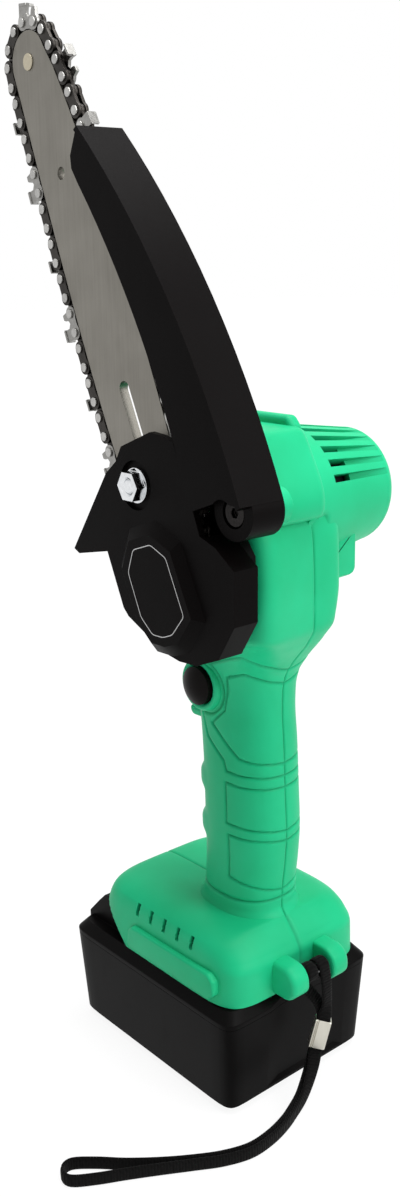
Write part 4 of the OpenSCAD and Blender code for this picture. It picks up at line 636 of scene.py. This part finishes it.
# height, front, back, left, right, squareness, flare of the back towards the bar
GRIP_SECTIONS = np.array([
    [62, -6, 41.5, -19, 19, 2.4, 0], [67, -2.2, 40.4, -17.8, 17.8, 2.4, 0], [72, 1.6, 37.8, -16, 16, 2.4, 0],
    [80, 2.8, 38.2, -15.3, 15.3, 2.4, 0], [90, 3, 39.5, -15.2, 15.2, 2.4, 0],
    [102, 2.6, 40.4, -15.3, 15.3, 2.4, 0], [120, 2.4, 39.6, -15.3, 15.3, 2.4, 0],
    [137, 1.2, 39, -15, 15, 2.4, 0], [150, -0.5, 38.2, -14.8, 14.8, 2.4, 0],
    [158, -2, 38.4, -15.2, 15.2, 2.4, 0], [164, -3, 39.5, -16, 16, 2.5, 0],
    [170, -3.6, 43, -18, 16.7, 2.8, 0], [180, -4, 51, -24.5, 16, 4, 2], [186, -3, 53.9, CASE_Y, 15.6, 6, 4],
    [199, 0, 53.9, CASE_Y, 16.2, 8, 5], [216, 3, 53.2, CASE_Y, 16.2, 8, 4.6], [232, 5, 50, CASE_Y, 15, 8, 3],
])
# Parting lines of the grip's panels, as degrees from the back seam and height
GRIP_LINES = [
    [(-92.2, 167.7), (-56.4, 175.4), (-39.1, 171.7), (-17.4, 168.7), (0, 167.2)],
    [(-71.6, 164.1), (-52.6, 166.7), (-26, 163.4), (0, 161.5)],
    [(-71.6, 164.1), (-72.2, 158.1), (-78.7, 150.4), (-100.9, 143.9), (-62.4, 133.1), (-43.4, 131.9),
     (0, 130.7)],
    [(-122.6, 147.7), (-111.2, 137.7), (-84.6, 131), (-80.8, 127.1), (-60.8, 126.6), (-34.7, 126.2),
     (0, 125.9)],
    [(0, 121.3), (-44.5, 121.9), (-82.5, 122.5), (-83.5, 106.2), (-37.4, 105.2), (0, 104)],
    [(0, 99.9), (-38, 101.2), (-81.4, 101.6), (-78.7, 84.3), (-30.4, 80.5), (0, 78.7)],
]
MM_PER_DEGREE = 0.323
LINE_HALF_W, LINE_DEPTH = 0.42, 0.7
FINGER_RIDGES, RIDGE_RISE = (99.8, 118.8), 1.7


def outward(points):
    """Unit normals of a grid that is closed round its columns, from central differences."""
    across = np.roll(points, -1, axis=1) - np.roll(points, 1, axis=1)
    along = np.gradient(points, axis=0)
    normal = np.cross(across, along)
    return normal / np.maximum(np.linalg.norm(normal, axis=2), 1e-9)[:, :, None]


def grip_skin():
    """Superellipse sections blended up the grip and neck, drawn in at panel lines, seam, window and bore."""
    turn = np.linspace(-math.pi, math.pi, 320, endpoint=False)
    height = np.concatenate([np.arange(62, 176, 0.5), np.arange(176, 232.2, 1.4)])
    sections = monotone(GRIP_SECTIONS[:, 0], GRIP_SECTIONS[:, 1:], height)
    front, back, left, right, square, flare = sections.T[:, :, None]
    r = superellipse(turn, square)
    cx, sy = r * np.cos(turn), r * np.sin(turn)
    y = (left + right) / 2 + (right - left) / 2 * sy
    x = (front + back) / 2 + (back - front) / 2 * cx
    x = x + flare * np.maximum(0, cx) ** (square / 2) * np.maximum(0, y / CASE_Y)
    z = height[:, None] + 0 * x
    points = np.stack([x, y, z], -1)
    normal = outward(points)
    side = -np.abs(np.degrees(turn))[None] * MM_PER_DEGREE + 0 * x
    groove = np.zeros_like(x)
    for line in GRIP_LINES:
        run = [(a * MM_PER_DEGREE, h) for a, h in line]
        groove = np.maximum(groove, np.exp(-((away(side, z, run) / LINE_HALF_W) ** 2)))
    to_button = np.hypot(x - BUTTON[0], z - BUTTON[1])
    ring = np.exp(-(((to_button - RING_R) / 0.5) ** 2)) * (y < 0) * (x > BUTTON[0] - 6)
    base_ring = np.exp(-(((z - BASE_RING_Z) / 0.5) ** 2))
    seam = np.exp(-((y / 0.33) ** 2)) * 0.7
    groove = np.maximum.reduce([groove, ring, base_ring, seam])
    ridge = sum(np.exp(-(((z - h) / 4.4) ** 4)) for h in FINGER_RIDGES) * ramp(-np.cos(turn), 0.45, 0.9)
    points = points + normal * (RIDGE_RISE * ridge - LINE_DEPTH * groove)[:, :, None]
    window = (x < 8) & (np.abs(y) < TRIGGER_W / 2 + 0.5) & (np.abs(z - TRIGGER_Z) < TRIGGER_H / 2 + 0.5)
    points[..., 0] = np.where(window, WINDOW_FLOOR, points[..., 0])
    bore = (y < 0) & (to_button < BUTTON_R + 0.8)
    points[..., 1] = np.where(bore, BORE_FLOOR, points[..., 1])
    # The groove mark is painted shade along the panel lines, rings and seam; window and bore get 2 more,
    # which the finish paints near black as painted shadow.
    return sheet(points, groove=groove + 2.0 * (window | bore))


# height, front, back, half width, squareness
FOOT_SECTIONS = np.array([
    [44, -36, 48, 35, 7], [56, -35.6, 48, 34.6, 7], [61, -35, 46, 34.2, 6.4], [65, -34, 43, 33, 5.6],
    [67.6, -32, 40.6, 29.8, 5], [68.8, -29, 38.8, 25.6, 4.4], [69.3, -20, 36, 19, 3.4], [69.4, 4, 30, 8, 2.4],
])
SLOPE_TOP, SLOPE_END = (-34.0, 60.0), (-13.6, 42.0)
VENTS, VENT_Z = [-8.6 + 8.1 * i for i in range(5)], 62.9
NECK_HALF, RAIL_HALF, RAIL_TOP = 22.4, 26.4, 50.6


def foot_wall(drawn):
    """Sections of the foot drawn in by a wall, on rows close together where the vents are."""
    knots = np.arange(len(FOOT_SECTIONS))
    rows = np.concatenate([np.linspace(0, 1.8, 20), np.linspace(1.85, 3.2, 34), np.linspace(3.3, 7, 26)])
    z, front, back, half, square = monotone(knots, FOOT_SECTIONS, rows).T[:, :, None]
    slow = np.linspace(-math.pi, math.pi, 180, endpoint=False)
    reach = np.arctan2(1, np.linspace(-0.45, 0.55, 90))
    turn = np.unique(np.round(np.concatenate([slow, reach, -reach]), 5))
    r = superellipse(turn, square)
    x = (front + back) / 2 + ((back - front) / 2 - drawn) * r * np.cos(turn)
    y = (half - drawn) * r * np.sin(turn)
    z = z - drawn * ramp(z, 58, 66) + 0 * x
    slope = SLOPE_TOP[0] + (SLOPE_TOP[1] - z) * (SLOPE_END[0] - SLOPE_TOP[0]) / (SLOPE_TOP[1] - SLOPE_END[1])
    x = np.maximum(x, np.where(z < SLOPE_TOP[1], slope + drawn, -99))
    return np.stack([x, y, z], -1)


def foot_skin():
    """Outer and inner wall of the foot, joined at the rim, with its vents, seam and the rail's way."""
    outer, inner = foot_wall(0), foot_wall(WALL)
    x, y, z = np.moveaxis(outer, -1, 0)
    slot = sum((np.abs(x - v) < 0.75).astype(float) for v in VENTS)
    slot = slot * (np.abs(z - VENT_Z) < 2.4) * (np.abs(y) > 20)
    seam = np.exp(-((y / 0.4) ** 2)) * 0.8
    outer = outer - outward(outer) * (0.5 * seam)[:, :, None]
    outer[..., 1] -= np.sign(y) * 2.2 * slot
    points = np.concatenate([inner[::-1], outer])
    # Groove mark: painted shade along the seam, and 2 in the vent slots for near-black painted shadow.
    groove = np.concatenate([0 * seam, seam + 2 * slot])

    def rail_way(p):
        low = (np.abs(p[..., 1]) < NECK_HALF) & (p[..., 2] < RAIL_TOP)
        high = (np.abs(p[..., 1]) < RAIL_HALF) & (np.abs(p[..., 2] - 48.7) < 1.9)
        return (low | high) & (p[..., 0] < -5)

    return sheet(points, groove=groove, drop=rail_way)


def box_sheet(low, high, radius=0.6):
    """Rounded block between two corners, as a slab on its side outline."""
    (x0, y0, z0), (x1, y1, z1) = low, high
    outline = softened([(x0, z0), (x1, z0), (x1, z1), (x0, z1)], radius, 3)
    return slab(outline, y0, y1, radius, radius, 3)


def arc_points(x, z, radius, start, end, count):
    """Points of an arc about x, z between two angles in degrees."""
    t = np.radians(np.linspace(start, end, count))
    return np.stack([x + radius * np.cos(t), z + radius * np.sin(t)], -1).tolist()


DRUM_R = 32.5
DRUM_BACK = [(29.5, -2.4), (31, 3.5), (29.5, 10.5), (21, 26.7), (17.9, 28.6), (3, 28.7)]
RIB_Y = 29.4
GUARD_PIVOT = (60.5, 233.5)
BARREL = MOTOR + [-0.8, 0.4]
BARREL_R, BARREL_FLARE, BARREL_ROOT, BARREL_BEND, BARREL_ROUND = 21.5, 5.4, 5.0, 43.1, 5.7
SLOT_TURNS = np.radians(20.5 + 12.64 * np.arange(12))
SLOT_HALF = math.radians(3.1)
SLOT_Y = (12.4, 23.2, 43.7)


def drum_skin():
    """Block behind the bar: round in front, flat top, creased back, with a wide round to the motor side."""
    arc = arc_points(0, 0, DRUM_R, 118, 180, 6)
    outline = softened(np.array(DRUM_BACK + arc + [(-32.4, -2.4)]) + MOTOR, 5, 7)
    return slab(outline, CASE_Y, 3.0, 0.6, 4.8, 9)


def barrel_skin():
    """Cone with a rounded end, its root tucked into the neck. A slot steps down, then runs out along it."""
    steps = SLOT_HALF * np.array([-1.5, -1.12, -1, -0.9, -0.45, 0, 0.45, 0.9, 1, 1.12, 1.5])
    edges = (SLOT_TURNS[:, None] + steps).ravel()
    turn = np.unique(np.round(np.concatenate([edges, np.linspace(0, 2 * math.pi, 160, endpoint=False)]), 5))
    cuts = np.ravel([[c - 0.12, c, c + 0.12] for c in SLOT_Y])
    straight = np.unique(np.concatenate([np.linspace(-2, BARREL_BEND, 60), cuts[cuts < BARREL_BEND]]))
    bend = np.linspace(0, math.pi / 2, 16)[1:]
    y = np.concatenate([straight, BARREL_BEND + BARREL_ROUND * np.sin(bend)])[:, None]
    cone = BARREL_R + BARREL_FLARE * (BARREL_BEND - straight) / (BARREL_BEND - BARREL_ROOT)
    cone = cone + 1.6 * np.exp(-np.maximum(0, straight - 2.6) / 0.6)
    r = np.concatenate([cone, BARREL_R - BARREL_ROUND + BARREL_ROUND * np.cos(bend)])[:, None] + 0 * turn
    near = np.min(np.abs(turn[:, None] - SLOT_TURNS), axis=1)[None] / SLOT_HALF
    inside = (near < 0.99).astype(float)
    opened = inside * (y > SLOT_Y[0] + 0.01) * (y < SLOT_Y[1] - 0.01)
    left = (SLOT_Y[2] - y) / (SLOT_Y[2] - SLOT_Y[1])
    floor = np.where((y >= SLOT_Y[1] - 0.01) & (y < SLOT_Y[2]), 0.2 + 1.7 * left, 0)
    below = 360 - np.degrees(turn)
    tucked = (1 - ramp(y, 4.5, 8.5)) * ramp(below, 3, 8) * (1 - ramp(below, 45, 60))
    r = r - 5.0 * opened - floor * inside - 3.2 * tucked
    points = np.stack([BARREL[0] + r * np.cos(turn), y + 0 * r, BARREL[1] + r * np.sin(turn)], -1)
    # Groove mark: 2 in the open slots for near-black painted shadow, 0.5 on the slot floors that run out for
    # painted shade.
    return sheet(points, groove=2.0 * opened + 0.5 * inside * (floor > 0.2))


PAD_IN, PAD_OUT = 31, 36.8
PAD = [(-13, 47.6), (-12.4, 53.6), (-9.6, 56.2), (36, 56.6), (38.8, 54.2), (39.2, 48.8), (36.4, 46),
       (-11.4, 45.6)]
EAR_X, EAR_Z, EAR_R, EAR_IN, EAR_OUT = 59.5, 51.5, 6.5, 6.5, 14.8


def housing():
    """The moulded green housing in four pieces: grip and neck, foot, head and barrel."""
    grip = piece("housing_grip", [grip_skin()], GREEN)
    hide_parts("left_housing", "right_housing")
    trims = [foot_skin()]
    ear = [(40, FOOT_Z + 0.5), (EAR_X - 4, FOOT_Z + 0.5), (EAR_X, EAR_Z - 3)]
    ear += arc_points(EAR_X - EAR_R, EAR_Z, EAR_R, 0, 90, 7) + [(40, EAR_Z + EAR_R)]
    ear = softened(ear, 2)
    pad = softened(PAD, 0.8, 4)
    trims += [slab(ear, -EAR_OUT, -EAR_IN, 2.2, 1.2), slab(ear, EAR_IN, EAR_OUT, 1.2, 2.2)]
    trims += [slab(pad, -PAD_OUT, -PAD_IN, 1.1, 0.4), slab(pad, PAD_IN, PAD_OUT, 0.4, 1.1)]
    for s in (-1, 1):
        inner, outer = sorted([s * NECK_HALF, s * 33.5])
        trims.append(box_sheet((-13, inner, FOOT_Z + 0.1), (40, outer, FOOT_Z + 2.7)))
    trims.append(box_sheet((39.5, -32, FOOT_Z + 0.1), (42.5, 32, 50)))
    trims.append(box_sheet((31, -16, 55.5), (39, 1, 64)))
    trims.append(box_sheet((31, 5, 55.5), (39, 16, 64)))
    rest = np.array([(6, -4.2), (2.4, -3.7), (-3.4, -3.9), (-4.9, -2.7), (-5.2, -0.8), (-4.4, 0), (6, 0)])
    rest = softened(rest + [0, TRIGGER_Z - TRIGGER_H / 2 - 1], 0.9)
    ridge = softened(np.array([(-13.5, 24), (-13.5, 31.8), (14.9, 31.7), (18, 28.1), (18, 24)]) + MOTOR, 1.2)
    rib = [(8, -28.9), (RIB_Y - 2.4, -28.2), (RIB_Y - 0.8, -27.4), (RIB_Y, -25.8), (RIB_Y, -10.6), (8, -10.6)]
    rib = softened(np.array(rib) + [0, MOTOR[1]], 1.0)
    collar = [(0.25, -9), (0.25, -16.6), (0.9, -17.3), (1.6, -17.4), (2.3, -17.1), (2.9, -16.2), (3, -15)]
    collar = np.array(collar + [(3.2, -9)]) + [BUTTON_R, 0]
    lug = [(6, CASE_Y), (6, CASE_Y + 6), (5, CASE_Y + 7)]
    head = [drum_skin(), slab(rest, -8, 8, 1.2, 1.2), slab(ridge, -2.7, 2.7, 2.0, 2.0)]
    head += [lengthways(rib, 9, 46, 1.2), turned(collar, *BUTTON, caps=(False, False))]
    head += [turned(lug, *GUARD_PIVOT), box_sheet((52, CASE_Y, 228), (60, CASE_Y + 7, 239), 1.5)]
    shells = {"housing_foot": trims, "housing_head": head, "housing_barrel": [barrel_skin()]}
    for name, sheets in shells.items():
        piece(name, sheets, GREEN)


LIP_LOW, LIP_HIGH = (46.15, -19, 36.2), (46.85, 26, 38.05)


def case_lip():
    """Rounded strip inside the battery's thinned back wall, up to the lid, which closes the seam there."""
    made = piece("case_lip", [box_sheet(LIP_LOW, LIP_HIGH, 0.2)], BLACK, body="battery")


housing()
case_lip()

# Finishes of the solids that show, with the rounding of their edges in millimetres

SOLID_FINISHES = {
    "sprocket_cover": (GUARD_BLACK, 0.7), "bar_mount": (BLACK, 0.4), "chain_guard": (GUARD_BLACK, 1.0),
    "trigger": (BUTTON_BLACK, 0.7), "lock_button": (BUTTON_BLACK, 0.0), "battery_case": (BLACK, 0.8),
    "battery_lid": (BLACK, 0.9), "battery_latch": (BLACK, 0.5), "bar_left_plate": (BAR_STEEL, 0.0),
    "bar_core_plate": (BAR_STEEL, 0.0), "bar_right_plate": (BAR_STEEL, 0.0),
    "chain_tie_straps": (CHAIN_STEEL, 0.22), "chain_drive_links": (CHAIN_STEEL, 0.15),
    "chain_left_cutters": (CUTTER_STEEL, 0.2), "chain_right_cutters": (CUTTER_STEEL, 0.2),
    "chain_rivets": (RIVET_STEEL, 0.3), "nose_rivet": (NOSE_BEIGE, 0.2), "bar_nut": (NUT_CHROME, 0.35),
    "bar_stud": (NUT_CHROME, 0.3), "guard_screw": (DARK_STEEL, 0.3), "strap_pin": (PLAIN_STEEL, 0.2),
    "strap_ferrule": (PALE_FERRULE, 0.35), "gear_case": (ZINC, 0.0), "motor_can": (PLAIN_STEEL, 0.0),
    "motor_end_bell": (BLACK, 0.0), "motor_armature": (COPPER, 0.0), "motor_fan": (BLACK, 0.0),
    "motor_magnets": (DARK_STEEL, 0.0), "supply_leads": (RED_LEAD, 0.0), "motor_leads": (RED_LEAD, 0.0),
    "trigger_switch": (BLACK, 0.0), "terminal_block": (BLACK, 0.0), "terminal_blades": (BRASS, 0.0),
    "battery_cells": (CELL_BLUE, 0.0), "cell_holder": (PALE_PLASTIC, 0.0), "cell_strips": (NICKEL, 0.0),
    "battery_board": (BOARD_GREEN, 0.0), "battery_contacts": (BRASS, 0.0), "nose_sprocket": (DARK_STEEL, 0.0),
    "drive_sprocket": (DARK_STEEL, 0.0),
}


def solids():
    """Gives every solid its finish, and rounds the edges of those that show."""
    for name, made in nodes.items():
        finish, rounding = SOLID_FINISHES.get(name, (PLAIN_STEEL, 0.0))
        made.data.materials.clear()
        made.data.materials.append(finish)
        if rounding:
            soften_edges(made, rounding)


solids()

# Thin plain border on the cover's raised panel

PANEL_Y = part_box("sprocket_cover")[0][1] / MM
BORDER = [(27.3, 219.3), (35.4, 216.2), (44.1, 197.9), (37.8, 190.3), (32.8, 188.3), (27.2, 188.1),
          (21.1, 193), (14.7, 207.5), (17.8, 216)]
BORDER_W, BORDER_RISE = 0.3, 0.08


def panel_border():
    """Narrow raised line: the border outline and the same outline drawn in, joined over the top."""
    outline = softened(BORDER, 1.3, 6)
    rows = [(0, 0.1), (0, -BORDER_RISE), (BORDER_W, -BORDER_RISE), (BORDER_W, 0.1)]
    rings = [np.insert(inset(outline, d), 1, PANEL_Y + rise, axis=1) for d, rise in rows]
    made = piece("panel_border", [sheet(np.array(rings), caps=(False, False))], SILVER_LINE)


panel_border()

# Studio: white floor and backdrop for the camera, soft lamps

SEEN_WAYS = ("Camera", "Glossy", "Transmission")
WORLD_LIGHT = 0.27
FLOOR_REACH, FLOOR_Z = 6.0, -0.0002
LAMP_AIM = np.array([0.02, 0, 0.2])
# name, place in metres, size in metres, watts
LAMPS = [
    ("key", (0.95, 0.3, 0.8), 0.7, 8.0), ("top", (0.1, 0.1, 1.35), 0.9, 18.5),
    ("fill", (0.1, -1.3, 0.6), 1.0, 0.6),
]


def seen_rays(tree):
    """1 for rays from the camera, a mirror or glass, and 0 for those that light the object."""
    ray = tree.nodes.new("ShaderNodeLightPath")
    camera, mirror, glass = (Socket(tree, ray.outputs[f"Is {way} Ray"]) for way in SEEN_WAYS)
    return (camera + mirror + glass).clamped()


def studio():
    """White world and floor as the camera sees them, a dimmer grey for the light on the object."""
    scene = bpy.context.scene
    world = bpy.data.worlds.new("studio")
    scene.world = world
    world.use_nodes = True
    tree = world.node_tree
    background = tree.nodes["Background"]
    background.inputs["Color"].default_value = (1, 1, 1, 1)
    strength = WORLD_LIGHT + (1 - WORLD_LIGHT) * seen_rays(tree)
    tree.links.new(strength.link, background.inputs["Strength"])
    floor = bpy.data.meshes.new("floor")
    corners = [(x * FLOOR_REACH, y * FLOOR_REACH, FLOOR_Z) for x, y in ((-1, -1), (1, -1), (1, 1), (-1, 1))]
    floor.from_pydata(corners, [], [(0, 1, 2, 3)])
    ground = bpy.data.objects.new("floor", floor)
    scene.collection.objects.link(ground)
    f = Finish("floor_white", Base_Color=(0.9, 0.9, 0.9, 1), Roughness=0.9)
    seen = seen_rays(f.tree)
    glow = f.tree.nodes.new("ShaderNodeEmission")
    blend = f.tree.nodes.new("ShaderNodeMixShader")
    glow.inputs["Strength"].default_value = 1.05
    away_from_middle = f.node("VectorMath", {"operation": "LENGTH"}, output="Value", n0=f.place())
    f.tree.links.new((seen * (0.86 + 0.14 * away_from_middle.within(0.25, 0.8))).link, blend.inputs[0])
    f.tree.links.new(f.shader.outputs[0], blend.inputs[1])
    f.tree.links.new(glow.outputs[0], blend.inputs[2])
    f.tree.links.new(blend.outputs[0], f.tree.nodes["Material Output"].inputs["Surface"])
    floor.materials.append(f.material)
    for name, place, size, power in LAMPS:
        data = bpy.data.lights.new(name, "AREA")
        data.size = size
        data.energy = power
        lamp = bpy.data.objects.new(name, data)
        scene.collection.objects.link(lamp)
        back = np.array(place) - LAMP_AIM
        back /= np.linalg.norm(back)
        side = np.cross([0, 0, 1], back)
        side /= np.linalg.norm(side)
        matrix = np.eye(4)
        matrix[:3] = np.stack([side, np.cross(back, side), back, place], -1)
        lamp.matrix_world = Matrix(matrix)
    scene.view_settings.view_transform = "Standard"


studio()
